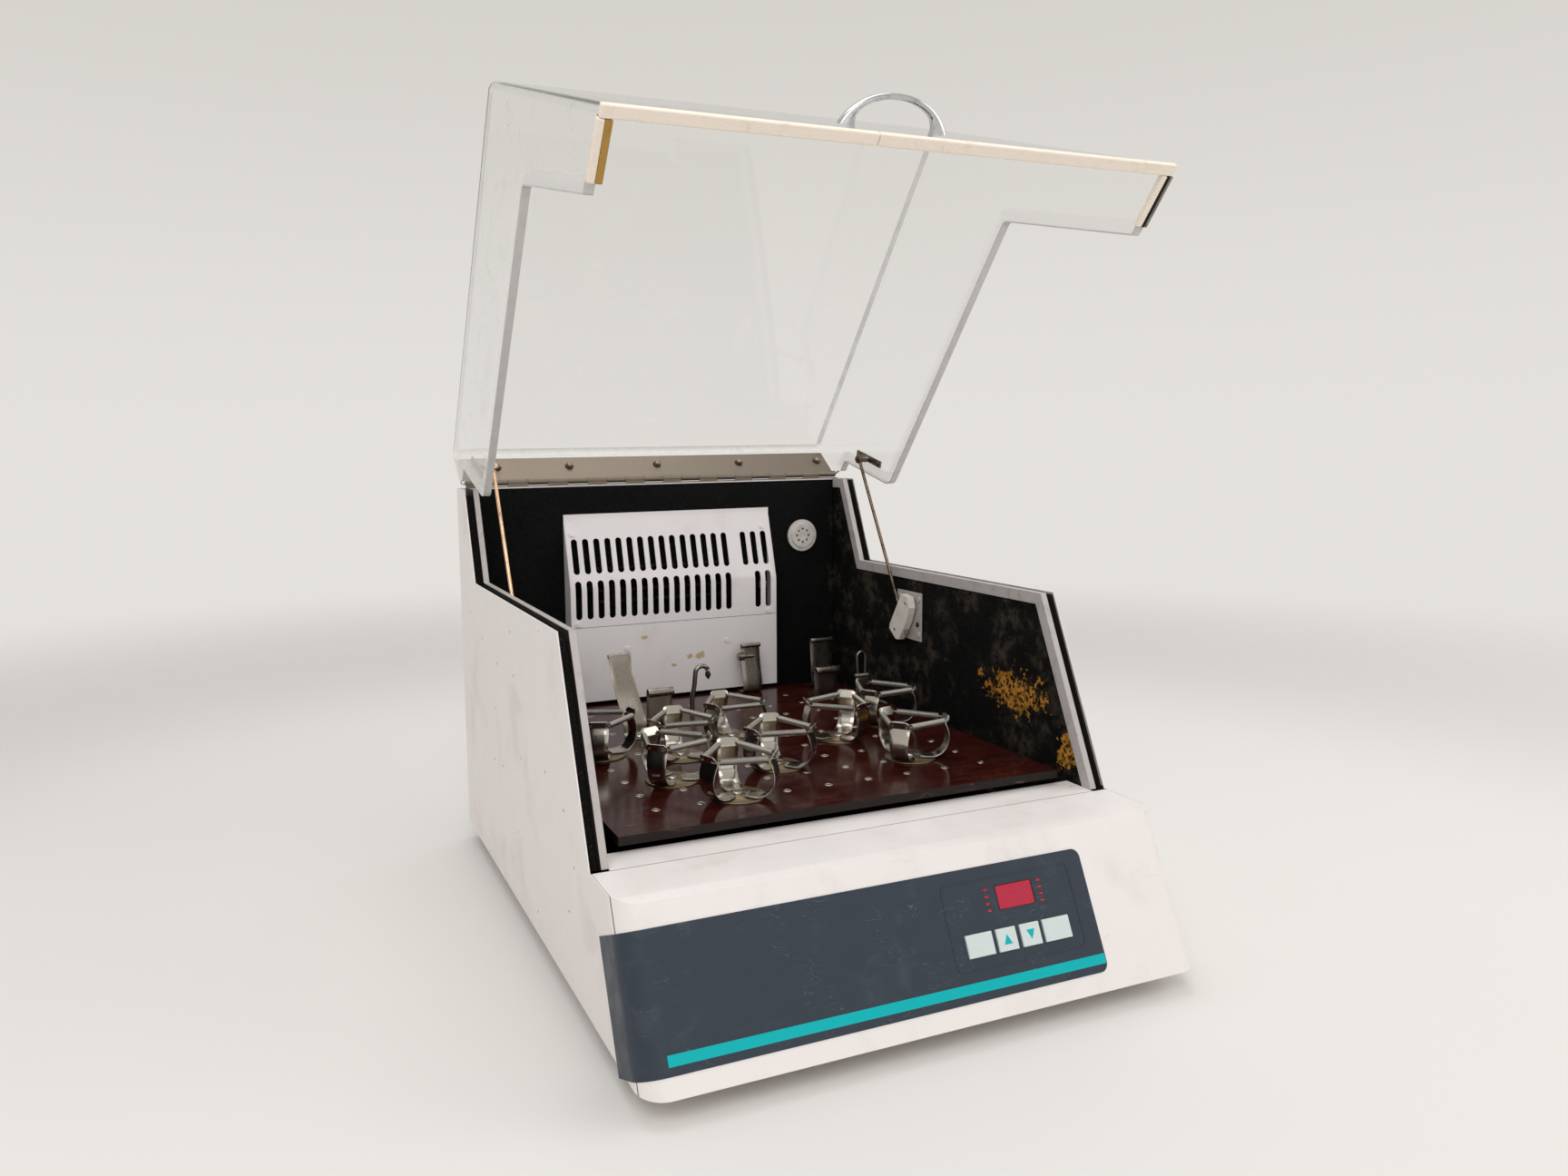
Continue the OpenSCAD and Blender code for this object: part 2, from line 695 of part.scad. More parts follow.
module heater_cover() {
  first = heat_left + 10.5;
  extra = [for (k = [0 : 2]) first + slot_pitch * (slot_n - 1) + 27.5 + 14.8 * k];
  color(CASE) in_place() {
    difference() {
      union() {
        across(heat_left, heat_right, concat(heat_line, reversed(shifted(heat_line, heat_t))));
        // Side cheeks back to the wall.
        for (x = [heat_left, heat_right - heat_t])
          across(x, x + heat_t, [[heat_y, z_heat_seam], [heat_y, z_heat_bend], [heat_back - 2, z_heat_top],
            [heat_back, z_heat_top], [heat_back, z_heat_seam]]);
      }
      // Upper row on the slope.
      translate([0, heat_y, z_heat_bend]) rotate([heat_slope, 0, 0]) {
        for (i = [0 : slot_n - 1]) translate([first + slot_pitch * i, 19, 0]) slot(slot_len, slot_w);
        for (x = extra) translate([x, 19, 0]) slot(slot_len, slot_w);
      }
      // Lower row, which runs over the bend.
      translate([0, heat_y, z_heat_seam]) rotate([90, 0, 0]) {
        for (i = [0 : slot_n - 1]) translate([first + slot_pitch * i, 10, 0]) slot(slot_len + 3, slot_w);
        for (k = [1 : 2]) translate([extra[k], 10, 0]) slot(slot_len + 3, slot_w);
      }
    }
    // Lower panel, a sheet of its own under the seam.
    difference() {
      union() {
        box([heat_left, heat_y, z_heat_foot], [heat_right, heat_y + heat_t, z_heat_seam - 0.6]);
        for (x = [heat_left, heat_right - heat_t])
          box([x, heat_y, z_heat_foot], [x + heat_t, heat_back, z_heat_seam - 0.6]);
      }
      for (x = [-69, 69]) translate([heater_x + x, heat_y, z_heat_seam - 31]) rotate([90, 0, 0])
        cylinder(r = 1.6, h = 10, center = true);
    }
    for (x = [-69, 69]) translate([heater_x + x, heat_y - seat, z_heat_seam - 31]) rotate([90, 0, 0])
      cylinder(r = 3, h = 1.6);
    // Screws at the corners of the grille.
    for (x = [heat_left + 9, heat_right - 12]) {
      translate([x, heat_y - seat, z_heat_seam + 4.5]) rotate([90, 0, 0]) cylinder(r = 3, h = 1.8);
      translate([0, heat_y, z_heat_bend]) rotate([heat_slope, 0, 0]) translate([x, 70, seat]) cylinder(r = 3, h = 1.8);
    }
  }
}

module heater_element() {
  r = 3.2;
  span = 105;
  y = rear_y - 8;
  color([0.4, 0.4, 0.42]) in_place() translate([heater_x, y, z_heat_bend - 20]) {
    for (k = [0 : 3]) translate([-span, 0, k * 14]) rotate([0, 90, 0]) cylinder(r = r, h = 2 * span);
    for (k = [0 : 2]) translate([k % 2 == 0 ? span : -span, 0, k * 14 + 7]) rotate([90, k % 2 == 0 ? 0 : 180, 0])
      rotate([0, 0, -90]) rotate_extrude(angle = 180) translate([7, 0]) circle(r = r, $fn = 24);
    // Clips hold the element on the wall.
    for (x = [-80, 0, 80]) translate([x - 4, -r - 1, -r - 2]) difference() {
      cube([8, 8 + r + 1 - gap, 42 + 2 * r + 4]);
      for (k = [0 : 3]) translate([-1, r + 1, r + 2 + k * 14]) rotate([0, 90, 0]) cylinder(r = r - 0.05, h = 10);
    }
  }
}

module blower_motor() {
  color([0.3, 0.3, 0.32]) in_place() translate([blower_x, 0, blower_z]) {
    translate([0, rear_y - 3, 0]) rotate([-90, 0, 0]) cylinder(r = blower_motor_r, h = 18);
    translate([0, rear_y - 20, 0]) rotate([-90, 0, 0]) cylinder(r = 3, h = 20);
  }
}

module blower_wheel() {
  blade_n = 18;
  y0 = rear_y - 21;
  color([0.2, 0.2, 0.2]) in_place() translate([blower_x, y0, blower_z]) rotate([-90, 0, 0]) {
    difference() {
      union() {
        cylinder(r = 8, h = 14);
        translate([0, 0, 12]) cylinder(r = blower_r, h = 2);
      }
      translate([0, 0, -1]) cylinder(r = 3 + run_gap, h = 20);
    }
    for (i = [0 : blade_n - 1]) rotate([0, 0, i * 360 / blade_n])
      translate([blower_r - 11, 0, 0]) rotate([0, 0, 30]) cube([10, 1, 12.5]);
    difference() {
      cylinder(r = blower_r, h = 1.5);
      translate([0, 0, -1]) cylinder(r = blower_r - 13, h = 4);
    }
  }
}

module vent_port_cap() {
  color([0.88, 0.87, 0.85]) in_place() translate([vent_x, rear_y - gap, vent_z]) rotate([90, 0, 0]) difference() {
    union() {
      cylinder(r = vent_r, h = 3);
      cylinder(r = vent_r - 5, h = 5);
      translate([0, 0, -10]) cylinder(r = vent_tube_r, h = 11);
    }
    for (i = [0 : 7]) rotate([0, 0, i * 45]) translate([8.8, 0, -11]) cylinder(r = 1.7, h = 20, $fn = 16);
    translate([0, 0, 4]) cylinder(r = 4, h = 2);
  }
}

module temperature_probe() {
  x = heat_right - 14;
  z = z_heat_bend - 4;
  color(STEEL) in_place() {
    translate([x, rear_y - 13, z - 40]) cylinder(r = 2.4, h = 70);
    translate([x - 6, rear_y - 16, z - 10]) difference() {
      cube([12, 16 - gap, 8]);
      translate([6, 3, -1]) cylinder(r = 2.4 - 0.02, h = 12);
    }
  }
}

lid_dir = unit(lid_brow - lid_foot);
lid_lean = atan2(lid_dir[1], lid_dir[0]);
lid_shell_line = [lid_foot, lid_brow, lid_crown, lid_heel];
function lid_curve(d) = let (q = shifted(lid_shell_line, d)) concat([q[0]],
  rounded(q[0], q[1], q[2], lid_bend_r - d), rounded(q[1], q[2], q[3], lid_bend_r - d), [q[3]]);
// Lower edge of a closed side panel, seated in the groove; it rises before the back wall.
lid_rise_y = hinge_y - 14;
nest_line = shifted(wall_edge, lid_nest);
leg_dir = nest_line[1] - nest_line[0];
lid_leg_foot = nest_line[0] + leg_dir * ((lid_foot[1] - nest_line[0][1]) / leg_dir[1]);
lid_low_line = [lid_leg_foot, nest_line[1], nest_line[2], nest_line[3], [lid_rise_y, z_rear - lid_nest],
  [lid_rise_y + 6, hinge_z - 3]];

module lid_shell() {
  inner = lid_curve(lid_t);
  n = len(inner);
  front_down = inner[0] - lid_dir * 60;
  color(CLEAR) lid_place() difference() {
    across(-lid_half, lid_half, concat(lid_curve(0), reversed(lid_low_line)));
    across(-lid_half + lid_t, lid_half - lid_t,
      concat([front_down], inner, [[inner[n - 1][0], z_deck - 20]]));
  }
}

// The channel follows the stepped edge from just above the deck to just before the back.
channel_line = [lid_leg_foot + unit(leg_dir) * 2, nest_line[1], nest_line[2], nest_line[3],
  [lid_rise_y - 1, z_rear - lid_nest]];

module lid_edge_channels() {
  slip = 0.05;
  color([0.9, 0.9, 0.88, 0.6]) lid_place() both() difference() {
    across(lid_half - lid_t - channel_t - slip, lid_half + channel_t + slip,
      band(channel_line, channel_t + slip - channel_h, channel_t + slip));
    across(lid_half - lid_t - slip, lid_half + slip, band(channel_line, -channel_h - 10, slip));
    // Clear of the console's deck in front and of the hinge behind.
    translate([0, 0, z_deck - 60]) cube([half_w, wall_foot_y + 4, 61 + seal_t]);
  }
}

return_end = wall_foot_y - 1.6;

module lid_seal() {
  top = lid_foot[1] - 0.1;
  low = z_deck + gap;
  y0 = lid_foot_y - 4;
  color(CREAM) lid_place() {
    box([-lid_half, y0, low], [lid_half, y0 + seal_w, top]);
    both() box([lid_half - seal_w + 2, y0 + seal_w + gap, low], [lid_half + 1.4, return_end, top]);
  }
}

module lid_handle() {
  len = handle_len / 2;
  bar_w = 9;
  outer = curve([-len, 0], [-len + 8, handle_h * 4 / 3], [len - 8, handle_h * 4 / 3], [len, 0], 20);
  rise = (handle_h - handle_bar) * 4 / 3;
  inner = curve([-len + 17, 0], [-len + 20, rise], [len - 20, rise], [len - 17, 0], 20);
  color([0.8, 0.8, 0.82]) lid_place() translate([0, lid_foot[0], lid_foot[1]]) rotate([lid_lean, 0, 0])
    translate([0, handle_up + bar_w / 2, 0.1]) rotate([90, 0, 0]) linear_extrude(bar_w)
      polygon(concat(outer, reversed(inner)));
}

knuckle_w = hinge_len / knuckle_n;

module knuckles(first) {
  for (i = [first : 2 : knuckle_n - 1])
    translate([-hinge_len / 2 + i * knuckle_w + 0.2, hinge_y, hinge_z]) rotate([0, 90, 0])
      cylinder(r = knuckle_r, h = knuckle_w - 0.4);
}

module pin_hole() {
  translate([-hinge_len / 2 - 1, hinge_y, hinge_z]) rotate([0, 90, 0])
    cylinder(r = hinge_pin_r + run_gap, h = hinge_len + 2);
}

module hinge_cabinet_leaf() {
  top = z_rear + 0.1;
  low_y = rear_y + 2;
  color(STEEL) in_place() difference() {
    union() {
      box([-hinge_len / 2, low_y, top], [hinge_len / 2, hinge_y + 2, top + leaf_t - 0.4]);
      knuckles(0);
      for (i = [0 : 2 : knuckle_n - 1])
        translate([-hinge_len / 2 + i * knuckle_w + 0.2, hinge_y - knuckle_r + 0.5, top])
          cube([knuckle_w - 0.4, leaf_t, hinge_rise]);
    }
    pin_hole();
  }
}

module hinge_pin() {
  color(STEEL) in_place() translate([-hinge_len / 2, hinge_y, hinge_z]) rotate([0, 90, 0])
    cylinder(r = hinge_pin_r, h = hinge_len);
}

screw_spots = [-hinge_len / 2 + 44, -hinge_len / 2 + 137, 2, hinge_len / 2 - 134, hinge_len / 2 - 15];

module hinge_lid_leaf() {
  face = lid_back_y - lid_t - 0.1;
  low = hinge_z + knuckle_r + 0.6;
  color(STEEL) lid_place() {
    difference() {
      union() {
        box([-hinge_len / 2, face - leaf_t, low], [hinge_len / 2, face, low + strip_w]);
        knuckles(1);
        for (i = [1 : 2 : knuckle_n - 1])
          translate([-hinge_len / 2 + i * knuckle_w + 0.2, face - leaf_t, hinge_z])
            cube([knuckle_w - 0.4, leaf_t, knuckle_r + 2]);
      }
      pin_hole();
    }
    // Acorn screws through the strip into the lid.
    for (x = screw_spots) translate([x, face - leaf_t, low + strip_w * 0.58]) rotate([90, 0, 0]) {
      cylinder(r = acorn_r, h = 2);
      translate([0, 0, 2]) intersection() {
        sphere(r = acorn_r - 0.4, $fn = 24);
        cylinder(r = acorn_r, h = acorn_r);
      }
    }
  }
}

// The swivel of a stay's guide, the pivot on the closed lid and the same pivot on the open one.
stay_guide = [guide_y, z_under + stay_guide_h];
heel_dir = unit(wall_edge[3] - wall_edge[2]);
heel_out = [-heel_dir[1], heel_dir[0]];
stay_lift = 12;
stay_pivot = wall_edge[2] + heel_dir * stay_pivot_run + heel_out * stay_lift;
function opened(p) = let (v = p - [hinge_y, hinge_z]) [hinge_y, hinge_z]
  + [v[0] * cos(lid_open) + v[1] * sin(lid_open), v[1] * cos(lid_open) - v[0] * sin(lid_open)];
stay_eye = opened(stay_pivot);
stay_reach = norm(stay_eye - stay_guide);
stay_lean = atan2(stay_eye[1] - stay_guide[1], stay_eye[0] - stay_guide[0]);
stay_pin_r = 3;
stay_sleeve_r = 3.6;
stay_eye_w = 5;

// Frame of a stay: y along the rod, from the guide towards the lid.
module stay_place() {
  in_place() translate([stay_mid, stay_guide[0], stay_guide[1]]) rotate([stay_lean, 0, 0]) children();
}

// Outline of the guide block round its swivel (depth, height), and its two screw holes.
guide_outline = [[-4, 31], [-18, 29], [-22, 16], [-15, -3], [1, -26], [8, -26], [22, -15], [21, -9]];
guide_holes = [[-12, 20], [11.4, -15]];
guide_in = stay_mid - stay_sleeve_r - 1.6;
guide_out = stay_mid + stay_sleeve_r + 0.1;

module right_stay_guide() {
  color(STEEL) in_place() translate([0, stay_guide[0], stay_guide[1]]) difference() {
    union() {
      across(guide_in, guide_out, guide_outline);
      // Pin of the swivel, out to the wall bracket.
      rod([guide_out - 1, 0, 0], [x_liner_in - gap, 0, 0], stay_pin_r, $fn);
    }
    for (p = guide_holes) rod([guide_in - 1, p[0], p[1]], [guide_out + 1, p[0], p[1]], 2.4);
    translate([stay_mid, 0, 0]) rotate([stay_lean - 90, 0, 0]) translate([0, 0, -50])
      cylinder(r = rod_r + run_gap, h = 100);
  }
}

module left_stay_guide() {
  mirror([1, 0, 0]) right_stay_guide();
}

module right_stay_rod() {
  color(STEEL) stay_place() {
    translate([0, -rod_tail, 0]) rotate([-90, 0, 0]) cylinder(r = rod_r, h = rod_tail + stay_reach);
    translate([-stay_eye_w / 2, stay_reach, 0]) rotate([0, 90, 0]) cylinder(r = 5.5, h = stay_eye_w);
    translate([-stay_eye_w / 2 - 1.8, stay_reach, 0]) rotate([0, 90, 0]) cylinder(r = 3.6, h = 2);
  }
}

module left_stay_rod() {
  mirror([1, 0, 0]) right_stay_rod();
}

module stay_wall_brackets() {
  plate_x = x_liner_in - gap;
  low = [stay_guide[0] - 31, stay_guide[1] - 25];
  high = [stay_guide[0] + 22, stay_guide[1] + 34];
  color([0.6, 0.58, 0.55]) in_place() both() difference() {
    union() {
      box([plate_x - 1.5, low[0], low[1]], [plate_x, high[0], high[1]]);
      translate([stay_mid + stay_sleeve_r + 0.4, stay_guide[0], stay_guide[1]]) rotate([0, 90, 0])
        cylinder(r = 7, h = plate_x - stay_mid - stay_sleeve_r - 0.5);
      for (p = [[low[0] + 6, low[1] + 8], [low[0] + 6, high[1] - 8], [high[0] - 6, high[1] - 8]])
        translate([plate_x - 3, p[0], p[1]]) rotate([0, 90, 0]) cylinder(r = 3.6, h = 2);
    }
    translate([stay_mid, stay_guide[0], stay_guide[1]]) rotate([0, 90, 0])
      cylinder(r = stay_pin_r + run_gap, h = 20);
  }
}

module stay_lid_brackets() {
  face = lid_half - lid_t - gap;
  color(STEEL) lid_place() both() {
    translate([0, stay_pivot[0], stay_pivot[1]]) rotate([atan2(heel_dir[1], heel_dir[0]), 0, 0]) {
      translate([face - 2, -30, -4]) cube([2, 60, 8.4]);
      translate([stay_mid + stay_eye_w / 2 + 0.6, 0, 0]) rotate([0, 90, 0])
        cylinder(r = 4, h = face - stay_mid - stay_eye_w / 2 - 1.6);
      for (y = [-23, 23]) translate([face - 3.6, y, 0.2]) rotate([0, 90, 0]) cylinder(r = 3, h = 2);
    }
  }
}

// Places of the clamps and of the other pieces screwed to the board, from the board's middle at rest,
// and the turn of each clamp's first leg.
CLAMPS = [[-93.4, -170.2, 79.9], [-131.6, -101.2, 106.4], [-169.1, 10.4, 129.6], [-17.1, -100.5, 77.3],
  [-93.9, -27.8, 81.9], [-15.3, 17.4, 88.8], [91.3, -33.1, 46.7], [120.8, -130.8, 99.6], [170.1, 4.7, 96.3]];
// Each strip: place of its screw, width, height, radius of its rolled top, how far the top leans back
// over the screw, and its turn.
STRIPS = [[-110, 59, 27, 84, 3, -51, 0], [-71, 111, 31, 46, 5, 0, 180], [99, 219, 27, 65, 3, 9, 180],
  [198, 212, 32, 66, 3, 5, 180], [180, 170, 34, 38, 5, 0, 180]];
stem_spot = [-7, 156];
loop_spots = [[203, 117], [215, 117]];
screw_r = 2.2;
screw_gap = 0.2;
z_tray = z_board - board_t - tray_t;

module platform_board() {
  color(BOARD) on_board() difference() {
    translate([-board_w / 2, -board_w / 2, -board_t]) cube([board_w, board_w, board_t]);
    span = hole_pitch * (hole_n - 1) / 2;
    for (x = [-span : hole_pitch : span], y = [-span : hole_pitch : span])
      translate([x, y, -board_t - 1]) cylinder(r = hole_r, h = board_t + 2, $fn = 24);
    for (p = CLAMPS) translate([p[0], p[1], -board_t - 1])
      cylinder(r = screw_r + screw_gap, h = board_t + 2, $fn = 24);
    for (p = STRIPS) translate([p[0], p[1], -board_t - 1])
      cylinder(r = screw_r + screw_gap, h = board_t + 2, $fn = 24);
    translate([stem_spot[0], stem_spot[1], -board_t - 1]) cylinder(r = 3.2, h = board_t + 2, $fn = 24);
    for (p = loop_spots) translate([p[0], p[1], -board_t - 1]) cylinder(r = 1.7, h = board_t + 2, $fn = 24);
  }
}

hub_r = 15;
web_t = 8;
z_web = z_floor + 2;
z_stub = z_web + web_t;
hub_low = z_stub + gap;
stub_h = 18;

module platform_tray() {
  color(DARK) in_place() translate([rest_x, rest_y, 0]) difference() {
    union() {
      translate([-tray_w / 2, -tray_w / 2, z_tray]) cube([tray_w, tray_w, tray_t - seat]);
      for (p = crank_spots) translate([p[0], p[1] - board_y, hub_low]) cylinder(r = hub_r, h = z_tray - hub_low + 1);
    }
    for (p = crank_spots) translate([p[0], p[1] - board_y, hub_low - 1])
      cylinder(r = stub_r + run_gap, h = stub_h + 2);
  }
}

// A crank: journal below, web with counterweight, stub offset to the back by the orbit's radius.
module crank(p, journal_z) {
  color([0.55, 0.55, 0.57]) in_place() translate([p[0], p[1], 0]) {
    translate([0, 0, journal_z]) cylinder(r = journal_r, h = z_web - journal_z + 1);
    translate([0, 0, z_web]) cylinder(r = 20, h = web_t);
    translate([0, orbit_r, z_web]) cylinder(r = 14, h = web_t);
    translate([0, 0, z_web]) intersection() {
      cylinder(r = 34, h = web_t);
      translate([-34, -34, 0]) cube([68, 30, web_t]);
    }
    translate([0, orbit_r, z_stub - 1]) cylinder(r = stub_r, h = stub_h + 1);
  }
}

module main_crank() { crank(crank_spots[0], pulley_z - 4); }
module idler_crank_left() { crank(crank_spots[1], plate_z + 2); }
module idler_crank_right() { crank(crank_spots[2], plate_z + 2); }

module shaft_bearings() {
  color(STEEL) in_place() for (p = crank_spots) translate([p[0], p[1], bearing_z + seat]) difference() {
    cylinder(r = bearing_or, h = bearing_h);
    translate([0, 0, -1]) cylinder(r = journal_r + run_gap, h = bearing_h + 2);
  }
}

// A pulley with a flange above and below its belt.
module pulley(r, bore) {
  difference() {
    union() {
      cylinder(r = r, h = pulley_t);
      for (z = [0, pulley_t - 1.2]) translate([0, 0, z]) cylinder(r = r + 2, h = 1.2);
    }
    translate([0, 0, -1]) cylinder(r = bore, h = pulley_t + 2);
  }
}

module drive_pulley() {
  color(DARK) in_place() translate([0, board_y, pulley_z]) pulley(pulley_r, journal_r + seat);
}

motor_shaft_r = 4;
motor_h = 24;

module motor_pulley() {
  color([0.6, 0.6, 0.62]) in_place() translate([motor_spot[0], motor_spot[1], 0]) {
    translate([0, 0, pulley_z]) pulley(motor_pulley_r, motor_shaft_r - 1);
    translate([0, 0, pulley_z - 2]) cylinder(r = motor_shaft_r, h = plate_z + plate_t + 8 - pulley_z);
  }
}

module drive_motor() {
  base = plate_z + plate_t + seat;
  color([0.25, 0.25, 0.27]) in_place() translate([motor_spot[0], motor_spot[1], base]) difference() {
    union() {
      cylinder(r = motor_r, h = motor_h - 6);
      cylinder(r = motor_r - 8, h = motor_h);
    }
    translate([0, 0, -1]) cylinder(r = motor_shaft_r + run_gap, h = 9);
  }
}

belt_t = 2;

// Outline of a belt round both pulleys, at distance d from their rims.
function arc(mid, r, from, to, steps) = [for (i = [0 : steps]) let (a = from + (to - from) * i / steps)
  mid + r * [cos(a), sin(a)]];
module belt_outline(d) {
  a = acos((pulley_r - motor_pulley_r) / motor_y);
  polygon(concat(arc([0, board_y], pulley_r + d, a - 90, 270 - a, 40),
    arc(motor_spot, motor_pulley_r + d, -90 - a, a - 90, 24)));
}

module drive_belt() {
  color([0.08, 0.08, 0.08]) in_place() translate([0, 0, pulley_z + 2]) linear_extrude(pulley_t - 4) difference() {
    belt_outline(belt_t);
    belt_outline(gap);
  }
}

module power_inlet() {
  y0 = cabinet_d - skin_t;
  color([0.1, 0.1, 0.1]) in_place() {
    translate([inlet_x, 0, z_under + inlet_h]) difference() {
      union() {
        translate([-17, cabinet_d + seat, -13]) cube([34, 2, 26]);
        translate([-inlet_size[0] / 2 + 0.2, y0 - 22, -inlet_size[1] / 2 + 0.2])
          cube([inlet_size[0] - 0.4, 23.5, inlet_size[1] - 0.4]);
      }
      translate([-11, cabinet_d - 16, -7.5]) cube([22, 20, 15]);
    }
    for (p = [[-6.5, -2], [0, 3], [6.5, -2]])
      translate([inlet_x + p[0] - 1, cabinet_d - 17, z_under + inlet_h + p[1] - 2]) cube([2, 14, 4]);
    // Frame of the switch.
    translate([switch_x, 0, z_under + inlet_h]) difference() {
      union() {
        translate([-8.5, cabinet_d + seat, -12]) cube([17, 1.8, 24]);
        translate([-switch_size[0] / 2 + 0.2, y0 - 14, -switch_size[1] / 2 + 0.2])
          cube([switch_size[0] - 0.4, 15.5, switch_size[1] - 0.4]);
      }
      translate([-5, cabinet_d - 11, -8]) cube([10, 20, 16]);
      translate([-10, cabinet_d - 3, 0]) rotate([0, 90, 0]) cylinder(r = 1 + run_gap, h = 20);
    }
  }
}

switch_tilt = 12;

module power_switch() {
  color([0.75, 0.08, 0.06]) in_place() translate([switch_x, cabinet_d - 3, z_under + inlet_h]) rotate([-switch_tilt, 0, 0]) {
    difference() {
      translate([-4.6, -3, -6.6]) cube([9.2, 7, 13.2]);
      translate([-6, 13, 0]) rotate([0, 90, 0]) cylinder(r = 10.6, h = 12);
    }
    translate([-5.8, 0, 0]) rotate([0, 90, 0]) cylinder(r = 1, h = 11.6);
  }
}

module feet() {
  in_place() for (p = foot_spots) translate([p[0], p[1], 0]) {
    color([0.08, 0.08, 0.08]) {
      cylinder(r = foot_r - 1.5, h = 3.1);
      translate([0, 0, 3]) cylinder(r = foot_r, h = foot_h - 3 - seat);
    }
    color([0.08, 0.08, 0.08]) translate([0, 0, foot_h - 1]) cylinder(r = foot_screw_r, h = pan_t + 5);
  }
}

// Side view of a clamp leg: out along the board, up in a bulge and in to the spring tab, which leans out.
clamp_lift = 0.3;
tab_lean = 4;
leg_path = concat([[13, clamp_lift + clamp_t]],
  curve([21, clamp_lift + clamp_t], [33, clamp_lift + clamp_t], [leg_bulge + 4.5, 15], [tab_r + 2, leg_h - 10]),
  [[tab_r, leg_h - 5], [tab_r + tab_lean, leg_h + 2.5]]);
hole_low = leg_h - 2.5;
spring_hole_r = 1.1;

module clamp_frame() {
  difference() {
    union() {
      translate([0, 0, clamp_lift]) cylinder(r = disc_r, h = clamp_t, $fn = 64);
      translate([0, 0, clamp_lift + clamp_t - 0.1]) cylinder(r = 9, h = 0.8);
      for (k = [0 : 2]) rotate([0, 0, 120 * k]) difference() {
        rotate([90, 0, 0]) translate([0, 0, -leg_w / 2]) linear_extrude(leg_w)
          polygon(concat(leg_path, reversed(shifted(leg_path, clamp_t))));
        for (m = [-1, 1]) {
          translate([tab_r - 4, m * tab_half, hole_low]) rotate([0, 90, 0]) cylinder(r = spring_hole_r, h = 10, $fn = 16);
          // Chamfered corner of the tab.
          translate([tab_r - 4, m * leg_w / 2, leg_h + 2.5]) rotate([m * 45, 0, 0]) translate([0, -3, -3]) cube([14, 6, 6]);
        }
      }
    }
    translate([0, 0, -1]) cylinder(r = screw_r + screw_gap, h = 6, $fn = 24);
    // Pressed ring round the screw.
    translate([0, 0, clamp_lift + clamp_t + 0.35]) difference() {
      cylinder(r = 7.6, h = 1);
      translate([0, 0, -1]) cylinder(r = 6, h = 3);
    }
  }
}

// Pan head screw into the board, its head seated at height z.
module clamp_screw(z) {
  translate([0, 0, -board_t + 0.6]) cylinder(r = screw_r, h = board_t - 0.6 + z + 0.1, $fn = 24);
  difference() {
    translate([0, 0, z]) cylinder(r = 4.4, h = 2.2, $fn = 24);
    translate([-5, -0.5, z + 1.4]) cube([10, 1, 2]);
  }
}

// A spring runs from one tab's hole to the next tab's, straight through both holes.
tab_mid = tab_r + clamp_t / 2 + tab_lean / 3;
spring_from = [tab_mid, tab_half, hole_low];
spring_to = [cos(120) * tab_mid + sin(120) * tab_half, sin(120) * tab_mid - cos(120) * tab_half, hole_low];
spring_len = norm(spring_to - spring_from);
spring_turn = atan2(spring_to[1] - spring_from[1], spring_to[0] - spring_from[0]);
// Straight wire at each end of the coils, and how far it stands out behind the tab.
hook_len = 5;
hook_out = 2.2;

// Lays children along a spring: x from the first hole to the second.
module spring_place() {
  for (k = [0 : 2]) rotate([0, 0, 120 * k]) translate(spring_from) rotate([0, 0, spring_turn]) children();
}

module plain_spring() {
  translate([hook_len, 0, 0]) rotate([0, 90, 0])
    cylinder(r = spring_r, h = spring_len - 2 * hook_len, $fn = 20);
  translate([-hook_out, 0, 0]) rotate([0, 90, 0]) cylinder(r = wire_r, h = spring_len + 2 * hook_out, $fn = 16);
}

// Wound spring: one unbroken tube, whose middle line and outward side are worked out ring by ring.
curl_rings = 8;
coil_r = spring_r - wire_r;
coil_len = spring_len - 2 * hook_len;
ring_total = curl_n * curl_rings;
function coil_side(i) = [0, -cos(360 * i / curl_rings), sin(360 * i / curl_rings)];
wire_line = concat([[-hook_out, 0, 0], [0, 0, 0], [hook_len - 1.4, 0, 0]],
  [for (i = [0 : ring_total]) [hook_len + coil_len * i / ring_total, 0, 0] + coil_r * coil_side(i)],
  [[spring_len - hook_len + 1.4, 0, 0], [spring_len, 0, 0], [spring_len + hook_out, 0, 0]]);
wire_side = concat([for (i = [0 : 2]) coil_side(0)], [for (i = [0 : ring_total]) coil_side(i)],
  [for (i = [0 : 2]) coil_side(0)]);
wire_last = len(wire_line) - 1;
wire_points = [for (i = [0 : wire_last]) let (
    along = unit(wire_line[min(i + 1, wire_last)] - wire_line[max(i - 1, 0)]),
    s = unit(wire_side[i] - along * (wire_side[i] * along)),
    u = cross(along, s))
  for (k = [0 : 5]) wire_line[i] + wire_r * (s * cos(60 * k) + u * sin(60 * k))];
wire_faces = concat([for (k = [1 : 4]) [0, k, k + 1]],
  [for (i = [0 : wire_last - 1], k = [0 : 5]) [i * 6 + k, (i + 1) * 6 + k, i * 6 + (k + 1) % 6]],
  [for (i = [0 : wire_last - 1], k = [0 : 5])
    [i * 6 + (k + 1) % 6, (i + 1) * 6 + k, (i + 1) * 6 + (k + 1) % 6]],
  [for (k = [1 : 4]) [wire_last * 6, wire_last * 6 + k + 1, wire_last * 6 + k]]);
// Least distance between points of the middle line at least half a curl apart, less the wire itself.
wire_gap = min([for (i = [0 : curl_rings * 2], j = [i + curl_rings / 2 : min(i + curl_rings * 2, wire_last)])
  norm(wire_line[i + 3] - wire_line[j + 3])]) - 2 * wire_r;

module wound_spring() {
  echo(least_gap_of_wound_spring = wire_gap);
  polyhedron(wire_points, wire_faces, convexity = 10);
}

